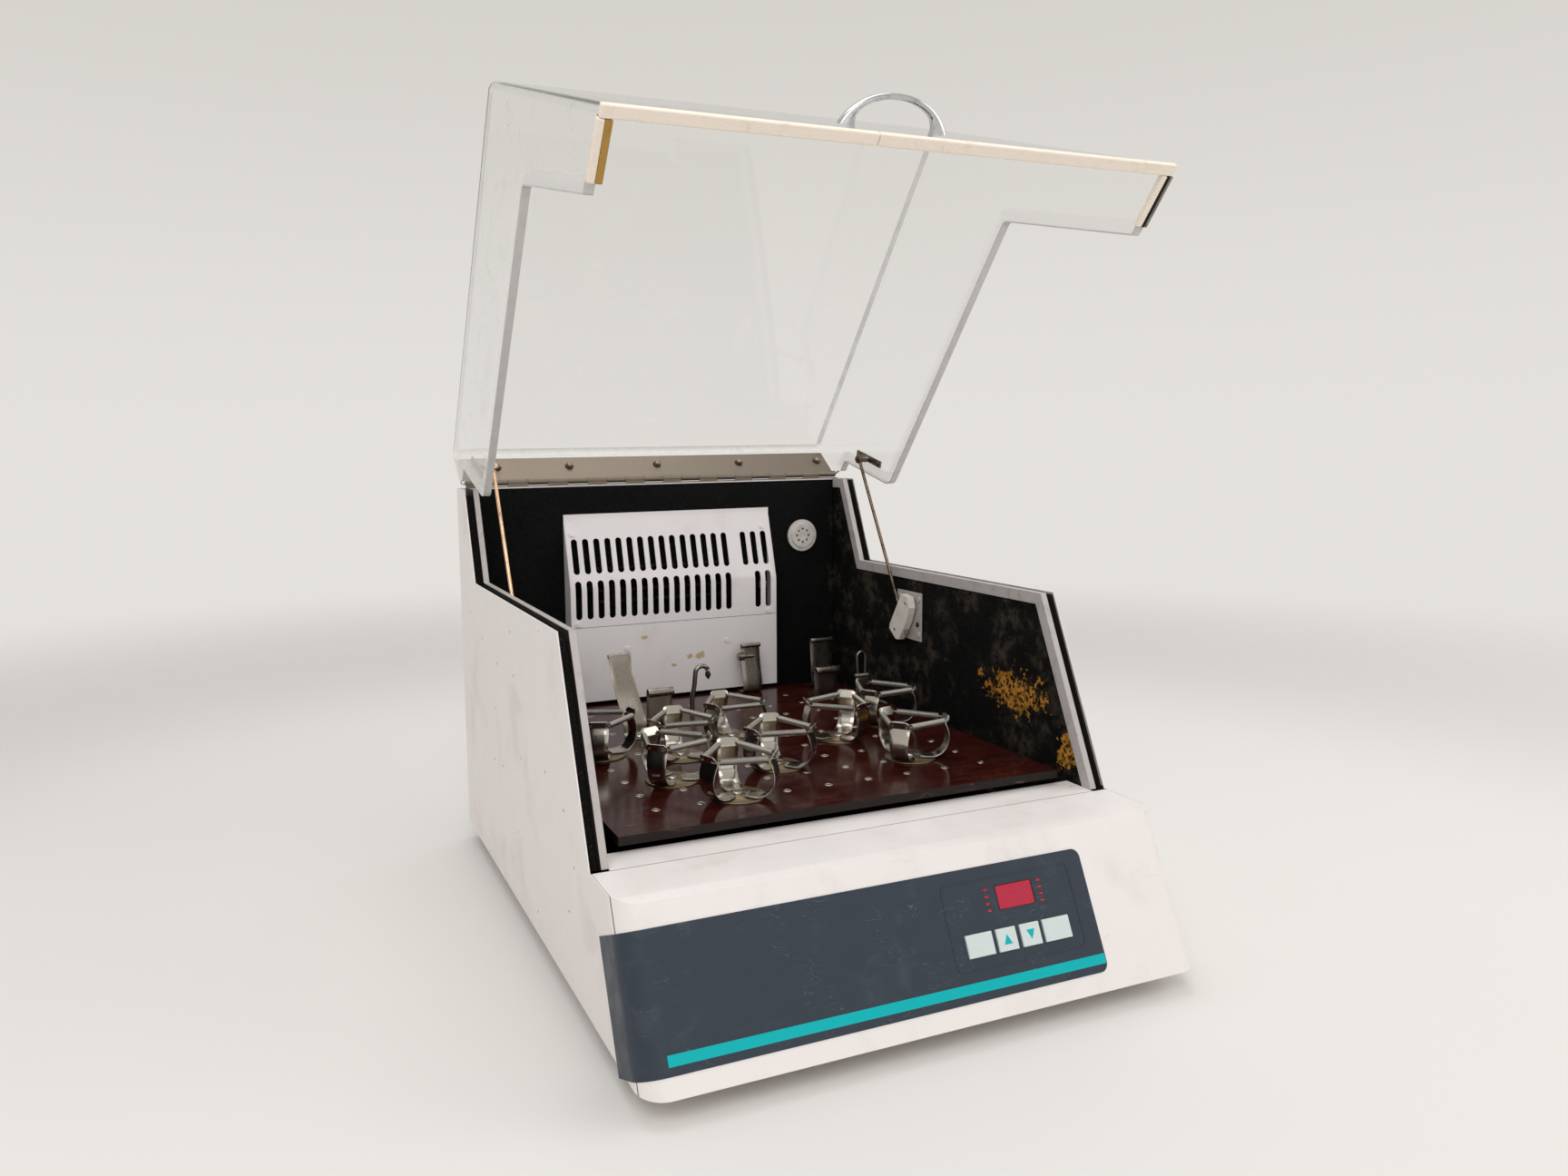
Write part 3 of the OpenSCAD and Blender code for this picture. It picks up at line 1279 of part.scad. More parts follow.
module clamp_place(i) {
  on_board() translate([CLAMPS[i][0], CLAMPS[i][1], 0]) rotate([0, 0, CLAMPS[i][2]]) children();
}

module clamp_body(i) {
  color([0.8, 0.78, 0.74]) clamp_place(i) {
    clamp_frame();
    clamp_screw(clamp_lift + clamp_t + 0.7 + seat);
  }
}

module clamp(i) {
  clamp_body(i);
  color([0.5, 0.5, 0.5]) clamp_place(i) spring_place() plain_spring();
}

module flask_clamp_1() {
  clamp_body(0);
  color([0.5, 0.5, 0.5]) clamp_place(0) spring_place() wound_spring();
}

module flask_clamp_2() { clamp(1); }
module flask_clamp_3() { clamp(2); }
module flask_clamp_4() { clamp(3); }
module flask_clamp_5() { clamp(4); }
module flask_clamp_6() { clamp(5); }
module flask_clamp_7() { clamp(6); }
module flask_clamp_8() { clamp(7); }
module flask_clamp_9() { clamp(8); }

strip_t = 1.2;
strip_foot = 12;

// Upright strip bent from one sheet, with a foot for its screw and a rolled top.
module strip(p) {
  h = p[3];
  roll_r = p[4];
  low = clamp_lift + strip_t;
  top = [strip_foot - p[5], h - roll_r];
  steps = 8;
  roll = [for (i = [1 : steps]) top + roll_r * [1 - cos(200 * i / steps), sin(200 * i / steps)]];
  path = concat([[-8, low]], rounded([-8, low], [strip_foot, low], [strip_foot, h / 2], 3),
    p[5] == 0 ? [top] : curve([strip_foot, h * 0.12], [strip_foot, h * 0.3], [strip_foot - p[5] * 0.8, h * 0.5], top),
    roll);
  translate([p[0], p[1], 0]) {
    rotate([0, 0, p[6]]) difference() {
      translate([-p[2] / 2, 0, 0]) rotate([90, 0, 90]) linear_extrude(p[2])
        polygon(concat(path, reversed(shifted(path, strip_t))));
      translate([0, 0, -1]) cylinder(r = screw_r + screw_gap, h = 6, $fn = 24);
    }
    clamp_screw(low + seat);
  }
}

module tall_clamps() {
  rise = 55;
  color(STEEL) on_board() {
    for (p = STRIPS) strip(p);
    // Thumb screw across the front of the third strip.
    translate([STRIPS[2][0], STRIPS[2][1] - strip_foot / 2, STRIPS[2][3] - 17]) {
      rod([-9, 0, 0], [4, 0, 0], 2.8);
      rod([-18, 0, 0], [-8.9, 0, 0], 5.2);
    }
    // Bent rod, up from the board and over to the right.
    translate([stem_spot[0], stem_spot[1], 0]) {
      translate([0, 0, -board_t + 1]) cylinder(r = 3, h = board_t + 30);
      rotate([0, 6, 0]) {
        translate([0, 0, 28]) cylinder(r = 2.4, h = 18);
        translate([9, 0, 46]) rotate([90, 0, 0]) rotate_extrude(angle = 180) translate([9, 0]) circle(r = 2.4, $fn = 20);
        translate([18, 0, 38.1]) cylinder(r = 3.4, h = 8);
      }
    }
    // Wire loop with a cross bar.
    for (p = loop_spots) translate([p[0], p[1], -board_t + 1]) cylinder(r = 1.5, h = board_t - 1 + rise, $fn = 20);
    mid = (loop_spots[0] + loop_spots[1]) / 2;
    half = (loop_spots[1][0] - loop_spots[0][0]) / 2;
    translate([mid[0], mid[1], rise - 0.1]) rotate([90, 0, 0]) rotate_extrude(angle = 180)
      translate([half, 0]) circle(r = 1.5, $fn = 20);
    translate([loop_spots[0][0] - 3, mid[1], rise - 25]) rotate([0, 90, 0]) cylinder(r = 1.5, h = 2 * half + 6, $fn = 20);
    // Loose rod that lies on the board.
    translate([220, 72, 2.02]) rotate([-90, 0, 0]) cylinder(r = 2, h = 43, $fn = 20);
  }
}

base_pan();
left_side_panel();
right_side_panel();
rear_panel();
console_cover();
control_overlay();
display_window();
start_key();
up_key();
down_key();
select_key();
circuit_boards();
left_liner();
right_liner();
rear_liner();
chamber_floor();
edge_trims();
groove_gaskets();
heater_cover();
heater_element();
blower_motor();
blower_wheel();
vent_port_cap();
temperature_probe();
hinge_cabinet_leaf();
hinge_pin();
hinge_lid_leaf();
lid_shell();
lid_edge_channels();
lid_seal();
lid_handle();
stay_lid_brackets();
left_stay_guide();
right_stay_guide();
left_stay_rod();
right_stay_rod();
stay_wall_brackets();
platform_board();
platform_tray();
main_crank();
idler_crank_left();
idler_crank_right();
shaft_bearings();
drive_pulley();
motor_pulley();
drive_belt();
drive_motor();
power_inlet();
power_switch();
feet();
tall_clamps();
flask_clamp_1();
flask_clamp_2();
flask_clamp_3();
flask_clamp_4();
flask_clamp_5();
flask_clamp_6();
flask_clamp_7();
flask_clamp_8();
flask_clamp_9();
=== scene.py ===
"""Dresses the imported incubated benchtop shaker: finishes, fine pieces, camera, floor and soft studio light.

Every size is in metres in the row's frame: +X right, -Y front, +Z up, origin on the floor under the part.
"""

import math

import bmesh
import bpy
from bpy.props import FloatProperty, FloatVectorProperty, IntProperty, PointerProperty
from mathutils import Matrix, Vector


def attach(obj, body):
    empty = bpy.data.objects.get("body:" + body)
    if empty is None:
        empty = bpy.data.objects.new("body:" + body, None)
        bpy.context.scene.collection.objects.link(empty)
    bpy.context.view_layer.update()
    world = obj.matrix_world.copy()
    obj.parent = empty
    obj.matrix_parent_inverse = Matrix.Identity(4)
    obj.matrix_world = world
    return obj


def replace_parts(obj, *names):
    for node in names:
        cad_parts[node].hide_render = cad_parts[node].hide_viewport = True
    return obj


bl_info = {
    "name": "Incubated shaker dressing",
    "version": (1, 0, 0),
    "blender": (4, 5, 0),
    "location": "View3D > Sidebar > Shaker",
    "description": "Finishes and fine pieces of an incubated benchtop shaker with a clear lid",
    "category": "Object",
}

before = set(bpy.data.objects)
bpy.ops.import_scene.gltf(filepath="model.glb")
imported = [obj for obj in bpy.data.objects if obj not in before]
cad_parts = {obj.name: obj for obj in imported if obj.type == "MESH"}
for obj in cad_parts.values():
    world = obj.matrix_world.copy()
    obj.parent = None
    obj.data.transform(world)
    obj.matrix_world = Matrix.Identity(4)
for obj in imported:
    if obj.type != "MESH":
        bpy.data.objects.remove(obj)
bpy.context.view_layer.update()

# Depth of the cabinet's own scale at the row's origin.
MID_DEPTH = 0.351593
HINGE = Vector((0, 0.650 - MID_DEPTH, 0.444))
LID_OPEN = 52
FACE_LEAN = 65.2826
BOARD_TOP = 0.163
BOARD_MIDDLE = Vector((0, 0.3827 - MID_DEPTH, BOARD_TOP))


def tint(code):
    """Linear colour of a six-digit web colour."""
    parts = [int(code[i:i + 2], 16) / 255 for i in (0, 2, 4)]
    return tuple(p / 12.92 if p <= 0.04045 else ((p + 0.055) / 1.055) ** 2.4 for p in parts)


def colour(name, code, about):
    """A colour that a user can change in the sidebar."""
    return FloatVectorProperty(name=name, description=about, subtype="COLOR", size=3, min=0, max=1,
                               default=tint(code))


def length(name, value, about):
    """A length in metres that a user can change in the sidebar."""
    return FloatProperty(name=name, description=about, default=value, min=0, unit="LENGTH", precision=4)


class CabinetLook(bpy.types.PropertyGroup):
    """Colours of the cabinet and its chamber."""
    paint: colour("Case paint", "e8e2df", "Warm off-white paint of the cabinet")
    paint_soil: colour("Case soil", "cfc6c0", "Handling marks on the paint")
    chip: colour("Chips", "5a5049", "Bare metal and dirt in the paint's chips")
    heater: colour("Heater paint", "e9e3e2", "Grey-white paint of the heater housing")
    stain: colour("Stains", "b9964a", "Yellow-brown run marks")
    crust: colour("Crust", "96631f", "Dried orange crust on the foam wall")
    foam: colour("Foam", "030303", "Black foam of the chamber's walls")
    foam_bloom: colour("Foam bloom", "3a332b", "Brown-grey bloom on the foam")
    trim: colour("Edge trim", "b4aeab", "Grey edge trims of the walls")


class PanelLook(bpy.types.PropertyGroup):
    """Colours of the control panel."""
    film: colour("Overlay", "303843", "Slate film on the console's face")
    stripe: colour("Stripe", "00aeb2", "Teal stripe and arrows")
    display: colour("Display", "bd0a33", "Red window of the display")
    segment: colour("Segments", "97123f", "Unlit segments behind the window")
    key: colour("Keys", "cdd6d4", "Pale keys")


class PlatformLook(bpy.types.PropertyGroup):
    """Colours and sizes of the platform and its clamps."""
    board: colour("Board", "2a0c09", "Dark red-brown laminate of the platform")
    board_edge: colour("Board edge", "1a1310", "Sawn edge of the laminate")
    disc: colour("Disc", "8c7c62", "Warm steel of the clamp discs")
    curls: IntProperty(name="Curls", description="Curls of each clamp spring", default=42, min=28, max=44)
    wire: length("Spring wire", 0.0005, "Radius of the spring wire")


class LidLook(bpy.types.PropertyGroup):
    """Colours and sizes of the clear lid."""
    sheet: length("Sheet", 0.005, "Thickness of the clear sheet")
    bend: length("Bend", 0.009, "Outer radius of the lid's side bends")
    seal: colour("Seal", "f6e9da", "Cream foam of the front seal")
    seal_old: colour("Old seal", "b08a45", "Golden-brown aged foam")


class StageLook(bpy.types.PropertyGroup):
    """Floor, background and lamps."""
    floor: colour("Floor", "e4e1dd", "Pale floor and lower background")
    upper: colour("Upper background", "d3d0ca", "Pale grey of the background's upper part")
    fill: FloatProperty(name="Fill", description="Strength of the world's even light", default=0.62, min=0)
    key: FloatProperty(name="Key", description="Power of the big soft lamp", default=30, min=0, unit="POWER")


LOOKS = {"cabinet": CabinetLook, "panel": PanelLook, "platform": PlatformLook, "lid": LidLook,
         "stage": StageLook}


def look(name):
    """The current values of one property group."""
    return getattr(bpy.context.scene, "shaker_" + name)


# Node helpers.

def feed(tree, value, socket):
    """Gives an input its value: a link from another socket, or a plain number, vector or colour."""
    if isinstance(value, bpy.types.NodeSocket):
        tree.links.new(value, socket)
    else:
        socket.default_value = value


def add(tree, kind, *values, **settings):
    """New node in a tree; settings go to its properties and named inputs, values to its first inputs."""
    node = tree.nodes.new(kind)
    for key, value in settings.items():
        if key in node.inputs.keys():
            feed(tree, value, node.inputs[key])
        else:
            setattr(node, key, value)
    for socket, value in zip(node.inputs, values):
        feed(tree, value, socket)
    return node


def math_node(tree, operation, first, second=0.0):
    """Maths on two values, each a socket or a number."""
    return add(tree, "ShaderNodeMath", first, second, operation=operation).outputs[0]


def times(tree, first, second):
    """Product of two values."""
    return math_node(tree, "MULTIPLY", first, second)


def vector_math(tree, operation, *values):
    """Maths on vectors; gives the node's outputs."""
    return add(tree, "ShaderNodeVectorMath", *values, operation=operation).outputs


def ramp(tree, value, low, high, out_low=0.0, out_high=1.0):
    """Value stretched between two limits, smooth at both ends."""
    limits = {"From Min": low, "From Max": high, "To Min": out_low, "To Max": out_high}
    node = add(tree, "ShaderNodeMapRange", interpolation_type="SMOOTHSTEP", Value=value, **limits)
    return node.outputs["Result"]


def blend_colours(tree, mask, first, second):
    """Colour that goes from the first to the second as the mask goes from 0 to 1."""
    node = add(tree, "ShaderNodeMix", data_type="RGBA", clamp_factor=True, Factor=mask)
    for index, shade in ((6, first), (7, second)):
        feed(tree, shade if isinstance(shade, bpy.types.NodeSocket) else (*shade[:3], 1), node.inputs[index])
    return node.outputs[2]


def place_of(tree, factors=None):
    """Object coordinates in metres, stretched along the axes if factors are given."""
    here = tree.nodes.new("ShaderNodeTexCoord").outputs["Object"]
    return here if factors is None else vector_math(tree, "MULTIPLY", here, factors)[0]


def coordinate(tree, index):
    """One of the object coordinates, without its sign."""
    return math_node(tree, "ABSOLUTE", separate(tree, place_of(tree), index))


def separate(tree, vector, index):
    """One coordinate of a vector."""
    return add(tree, "ShaderNodeSeparateXYZ", vector).outputs[index]


def noise_value(tree, scale, detail=3.0, stretch=None, **settings):
    """Plain noise over the surface."""
    return add(tree, "ShaderNodeTexNoise", Vector=place_of(tree, stretch), Scale=scale, Detail=detail,
               **settings).outputs["Fac"]


def build_cloud(tree, start):
    """Soft cloudy patches: size, and where they start and end."""
    noise = noise_value(tree, start["Size"], 5.0, Roughness=0.6, Distortion=0.3)
    return ramp(tree, noise, start["From"], start["To"])


def build_scratches(tree, start):
    """Thin broken scratches that run along the short stretch axis."""
    noise = noise_value(tree, 1.0, 1.0, start["Stretch"], Distortion=0.8)
    line = math_node(tree, "ABSOLUTE", math_node(tree, "SUBTRACT", noise, start["Sparse"]))
    thin = math_node(tree, "LESS_THAN", line, start["Width"])
    return times(tree, thin, ramp(tree, noise_value(tree, 35.0, 2.0), 0.5, 0.62))


def build_brushing(tree, start):
    """Even brushed lines of worked metal."""
    return noise_value(tree, 1.0, 3.0, start["Stretch"], Roughness=0.7)


def build_specks(tree, start):
    """Small round specks and chips, thinned out by a cloud."""
    cells = add(tree, "ShaderNodeTexVoronoi", feature="F1", Randomness=1.0, Vector=place_of(tree),
                Scale=start["Density"])
    reach = times(tree, start["Radius"], math_node(tree, "ADD", noise_value(tree, 420.0, 2.0), 0.5))
    near = math_node(tree, "LESS_THAN", cells.outputs["Distance"], reach)
    pick = add(tree, "ShaderNodeSeparateColor", cells.outputs["Color"]).outputs[0]
    return times(tree, near, math_node(tree, "GREATER_THAN", pick, start["Rarity"]))


def build_patch(tree, start):
    """One ragged patch round a place: 1 inside, 0 outside."""
    offset = vector_math(tree, "SUBTRACT", place_of(tree), start["Centre"])[0]
    far = vector_math(tree, "LENGTH", vector_math(tree, "MULTIPLY", offset, start["Reach"])[0])["Value"]
    noise = noise_value(tree, start["Grain"], 6.0, Roughness=0.65)
    edge = times(tree, math_node(tree, "SUBTRACT", noise, 0.5), times(tree, start["Ragged"], 6.0))
    return ramp(tree, math_node(tree, "ADD", far, edge), 1.08, 0.92)


# Shared effects: what builds each, and its inputs in the order in which its values are given.
EFFECTS = {
    "cloud_patches": (build_cloud, {"Size": 20.0, "From": 0.45, "To": 0.65}),
    "broken_scratches": (build_scratches, {"Stretch": (300.0, 12.0, 300.0), "Sparse": 0.66, "Width": 0.02}),
    "brushed_lines": (build_brushing, {"Stretch": (40.0, 1800.0, 1800.0)}),
    "scattered_specks": (build_specks, {"Density": 60.0, "Radius": 0.12, "Rarity": 0.62}),
    "ragged_patch": (build_patch, {"Centre": (0.0, 0.0, 0.0), "Reach": (20.0, 20.0, 20.0), "Ragged": 0.6,
                                   "Grain": 60.0}),
}


def effect(tree, name, *values):
    """Places a shared effect with its own values and returns its output."""
    if name not in bpy.data.node_groups:
        build, inputs = EFFECTS[name]
        group = bpy.data.node_groups.new(name, "ShaderNodeTree")
        for label, value in inputs.items():
            kind = "NodeSocketVector" if isinstance(value, tuple) else "NodeSocketFloat"
            group.interface.new_socket(name=label, in_out="INPUT", socket_type=kind).default_value = value
        group.interface.new_socket(name="Mask", in_out="OUTPUT", socket_type="NodeSocketFloat")
        start = group.nodes.new("NodeGroupInput")
        end = group.nodes.new("NodeGroupOutput")
        feed(group, build(group, start.outputs), end.inputs["Mask"])
    node = add(tree, "ShaderNodeGroup", node_tree=bpy.data.node_groups[name])
    for socket, value in zip(node.inputs, values):
        socket.default_value = value
    return node.outputs[0]


def value_of(tree, spec):
    """Value from a socket, a noise size, noise_value's own arguments, or an effect's name with its values."""
    if isinstance(spec, bpy.types.NodeSocket):
        return spec
    if isinstance(spec, float):
        return noise_value(tree, spec)
    return effect(tree, *spec) if isinstance(spec[0], str) else noise_value(tree, *spec)


def shade_of(text):
    """Colour of a web code, or of a property written as group.name."""
    group, dot, key = text.partition(".")
    return tuple(getattr(look(group), key)) if dot else tint(text)


def new_finish(name, base, rough, metal=0.0, coat=0.0, specular=0.5):
    """New material with one Principled shader; returns the material, its tree and the shader."""
    material = bpy.data.materials.new(name + "_finish")
    material.use_nodes = True
    shade = (*shade_of(base)[:3], 1)
    material.diffuse_color = shade
    shader = material.node_tree.nodes["Principled BSDF"]
    values = {"Base Color": shade, "Roughness": rough, "Metallic": metal, "Coat Weight": coat,
              "Specular IOR Level": specular}
    for key, value in values.items():
        shader.inputs[key].default_value = value
    return material, material.node_tree, shader


def lay_colours(tree, shader, base, layers):
    """Lays colours, as text or sockets, over a base, each with its mask and how strongly it shows."""
    result = shade_of(base)
    for spec, amount, shade in layers:
        mask = value_of(tree, spec)
        factor = mask if amount == 1 else times(tree, mask, amount)
        result = blend_colours(tree, factor, result, shade_of(shade) if isinstance(shade, str) else shade)
    tree.links.new(result, shader.inputs["Base Color"])


def set_bump(tree, shader, height, depth):
    """Feeds a height into the shader's normal; depth is in metres."""
    bump = add(tree, "ShaderNodeBump", Strength=1.0, Distance=depth, Height=value_of(tree, height))
    tree.links.new(bump.outputs[0], shader.inputs["Normal"])


def set_rough(tree, shader, value, low, high):
    """Roughness that goes from low to high with a value from 0 to 1."""
    tree.links.new(ramp(tree, value_of(tree, value), 0.3, 0.7, low, high), shader.inputs["Roughness"])


def layered(name, base, rough, layers, gloss=None, grain=None, **more):
    """Finish with colours laid over a base; gloss is (value, low, high) and grain is (height, depth)."""
    material, tree, shader = new_finish(name, base, rough, **more)
    if layers:
        lay_colours(tree, shader, base, layers)
    if gloss:
        set_rough(tree, shader, *gloss)
    if grain:
        set_bump(tree, shader, *grain)
    return material


def case_paint(name):
    """Off-white powder paint with handling marks, hairline scratches and a few chips; a band beside the
    grooves is darkened as painted shade.
    """
    material, tree, shader = new_finish(name, "cabinet.paint", 0.4)
    across = coordinate(tree, 0)
    # Painted shade: a narrow band of the skin beside the groove is darkened, where shade falls into it.
    inner, outer = 0.2614, 0.26195
    groove = times(tree, ramp(tree, across, inner, inner + 0.0002),
                   ramp(tree, across, outer, outer - 0.00013))
    lay_colours(tree, shader, "cabinet.paint", (
        (("cloud_patches", 14.0, 0.48, 0.8), 0.55, "cabinet.paint_soil"),
        (("broken_scratches", (18.0, 420.0, 120.0), 0.5, 0.006), 0.35, "cabinet.paint_soil"),
        (("scattered_specks", 42.0, 0.055, 0.93), 1, "cabinet.chip"),
        (groove, 1, GROOVE_SHADE)))
    set_rough(tree, shader, 30.0, 0.34, 0.5)
    set_bump(tree, shader, (900.0, 2.0), 0.00006)
    return material


def heater_paint(name):
    """Grey-white paint of the heater housing with rust-brown run marks round its holes."""
    layers = [(("cloud_patches", 22.0, 0.5, 0.85), 0.5, "cabinet.paint_soil"),
              (("scattered_specks", 48.0, 0.1, 0.965), 0.7, "cabinet.stain")]
    layers += [(("ragged_patch", (x, HEATER_FRONT, z), (1 / wide, 20.0, 1 / (wide * 0.7)), 0.5, 240.0), 0.75,
                "cabinet.stain") for x, z, wide in RUNS]
    return layered(name, "cabinet.heater", 0.36, layers, (40.0, 0.3, 0.45), ((800.0, 2.0), 0.00005))


def foam_black(name):
    """Black closed-cell foam; the right wall has brown-grey bloom, pale flecks and broken orange crusts."""
    material, tree, shader = new_finish(name, "cabinet.foam", 0.85, specular=0.15)
    right = ramp(tree, separate(tree, place_of(tree), 0), 0.236, 0.242, 0.04, 1.0)
    coarse = effect(tree, "cloud_patches", 26.0, 0.44, 0.66)
    bloom = times(tree, coarse, effect(tree, "cloud_patches", 90.0, 0.36, 0.62))
    flecks = times(tree, effect(tree, "scattered_specks", 130.0, 0.16, 0.93), times(tree, right, 0.5))
    patches = [effect(tree, "ragged_patch", (0.2468, y, z), (60.0, 1 / wide, 1 / tall), 0.8, 120.0)
               for y, z, wide, tall in CRUSTS]
    crust = patches[0]
    for patch in patches[1:]:
        crust = math_node(tree, "MAXIMUM", crust, patch)
    crust = times(tree, crust, effect(tree, "cloud_patches", 210.0, 0.4, 0.5))
    baked = effect(tree, "cloud_patches", 160.0, 0.4, 0.6)
    crust_shade = blend_colours(tree, baked, shade_of("cabinet.crust"), shade_of("bd8632"))
    lay_colours(tree, shader, "cabinet.foam", (
        (times(tree, bloom, right), 1, "cabinet.foam_bloom"), (flecks, 1, "6a5f50"), (crust, 1, crust_shade)))
    height = noise_value(tree, 260.0, 5.0)
    set_rough(tree, shader, height, 0.75, 0.95)
    set_bump(tree, shader, math_node(tree, "ADD", height, crust), 0.0007)
    return material


def trim_alloy(name):
    """Grey painted trim with grime along it, and painted shade as a dark line beside the groove."""
    material, tree, shader = new_finish(name, "cabinet.trim", 0.45)
    # Painted shade: the trim is darkened from the groove's edge outwards.
    inner = 0.2523
    groove = ramp(tree, coordinate(tree, 0), inner, inner + 0.0002)
    lay_colours(tree, shader, "cabinet.trim", (
        (("cloud_patches", 70.0, 0.5, 0.7), 0.5, "8b8480"),
        (("scattered_specks", 160.0, 0.14, 0.95), 0.7, "3a3531"), (groove, 1, GROOVE_SHADE)))
    set_rough(tree, shader, 90.0, 0.35, 0.6)
    set_bump(tree, shader, 420.0, 0.00012)
    return material


def gasket_rubber(name):
    """Frayed black foam rubber of the grooves."""
    material, tree, shader = new_finish(name, "0f0d0b", 0.85, specular=0.2)
    fray = noise_value(tree, 500.0, 6.0)
    lay_colours(tree, shader, "0b0a09", ((ramp(tree, fray, 0.5, 0.75), 1, "2c2822"),))
    set_bump(tree, shader, fray, 0.0012)
    return material


def plain_plastic(name, code, second, rough, size=80.0, depth=0.00005):
    """Moulded plastic or rubber with fine grain and mild staining."""
    return layered(name, code, rough, ((("cloud_patches", size, 0.45, 0.75), 0.6, second),),
                   (size, max(rough - 0.08, 0.05), min(rough + 0.1, 1.0)), ((1100.0, 2.0), depth))


def worked_metal(name, code, second, rough, stretch):
    """Bare metal with brushed lines and cloudy tarnish."""
    lines = ("brushed_lines", stretch)
    return layered(name, code, rough, ((("cloud_patches", 60.0, 0.45, 0.75), 1, second),),
                   (lines, max(rough - 0.06, 0.03), rough + 0.12), (lines, 0.00002), metal=1.0)


def plain_metal(name, code, rough, worn=0.06):
    """Even bare metal: only its gloss varies, in fine lines."""
    lines = ("brushed_lines", (420.0, 420.0, 60.0))
    return layered(name, code, rough, (), (lines, rough, rough + worn), metal=1.0)


def seal_foam(name, base, second):
    """Open foam strip, aged in patches."""
    return layered(name, base, 0.8, ((("cloud_patches", 55.0, 0.5, 0.85), 1, second),), None,
                   ((700.0, 4.0), 0.0004), specular=0.2)


def channel_clear(name):
    """Thin clear edging that only shows where it is seen along its walls."""
    material, tree, shader = new_finish(name, "f3f1ee", 0.25)
    facing = add(tree, "ShaderNodeLayerWeight", Blend=0.5)
    tree.links.new(ramp(tree, facing.outputs["Facing"], 0.2, 1.0, 0.03, 0.26), shader.inputs["Alpha"])
    set_rough(tree, shader, 200.0, 0.2, 0.35)
    return material


def bend_clear(name, code, low, high):
    """Painted light: part-clear band laid in a bend of the clear sheet, pale as a painted highlight or grey
    as painted shade.
    """
    material, tree, shader = new_finish(name, code, 0.3)
    tree.links.new(ramp(tree, noise_value(tree, 40.0), 0.3, 0.7, low, high), shader.inputs["Alpha"])
    return material


def board_brown(name):
    """Glossy phenolic laminate: dark red-brown faces, dull sawn edges, smudges and fine scratches."""
    material, tree, shader = new_finish(name, "platform.board", 0.2, specular=0.24)
    upward = separate(tree, tree.nodes.new("ShaderNodeNewGeometry").outputs["Normal"], 2)
    side = ramp(tree, math_node(tree, "ABSOLUTE", upward), 0.55, 0.3)
    grain = ramp(tree, noise_value(tree, 1.0, 5.0, (22.0, 160.0, 60.0)), 0.35, 0.7)
    lay_colours(tree, shader, "platform.board", (
        (grain, 1, "3a140f"), (side, 1, "platform.board_edge"),
        (("broken_scratches", (14.0, 260.0, 60.0), 0.52, 0.008), 0.3, "8b6a60")))
    smudge = ramp(tree, effect(tree, "cloud_patches", 24.0, 0.4, 0.8), 0.0, 1.0, 0.14, 0.3)
    tree.links.new(math_node(tree, "ADD", smudge, times(tree, side, 0.4)), shader.inputs["Roughness"])
    return material


def lid_clear(name):
    """Clear acrylic that lets most light through to what stands behind it, with fine scuffs."""
    rough = 0.015
    material, tree, shader = new_finish(name, "fbfbfa", rough)
    shader.inputs["Transmission Weight"].default_value = 1.0
    shader.inputs["IOR"].default_value = 1.3
    haze = times(tree, effect(tree, "cloud_patches", 9.0, 0.45, 0.8), 0.12)
    worn = math_node(tree, "MAXIMUM", haze, effect(tree, "broken_scratches", (30.0, 200.0, 90.0), 0.5, 0.004))
    tree.links.new(ramp(tree, worn, 0.0, 1.0, rough, rough + 0.3), shader.inputs["Roughness"])
    see_through = add(tree, "ShaderNodeBsdfTransparent", Color=(0.93, 0.93, 0.93, 1))
    paths = tree.nodes.new("ShaderNodeLightPath").outputs
    shadowed = math_node(tree, "MAXIMUM", paths["Is Shadow Ray"], paths["Is Diffuse Ray"])
    mixed = add(tree, "ShaderNodeMixShader", shadowed, shader.outputs[0], see_through.outputs[0])
    tree.links.new(mixed.outputs[0], tree.nodes["Material Output"].inputs["Surface"])
    return material


# Painted shade: dark colour laid beside the grooves, where shade falls into them.
GROOVE_SHADE = "2a2622"
# Run marks on the heater's front: x, z and width.
HEATER_FRONT = 0.262
RUNS = ((-0.0413, 0.2434, 0.004), (0.0345, 0.2143, 0.006), (0.0204, 0.2142, 0.004), (-0.0017, 0.2042, 0.003))
# Orange crusts on the right wall: y, z, width and height.
CRUSTS = ((-0.105, 0.222, 0.042, 0.019), (-0.187, 0.176, 0.010, 0.016), (-0.045, 0.232, 0.006, 0.005))
STEEL_LINES = (60.0, 1500.0, 1500.0)
FINE_LINES = (500.0, 500.0, 90.0)

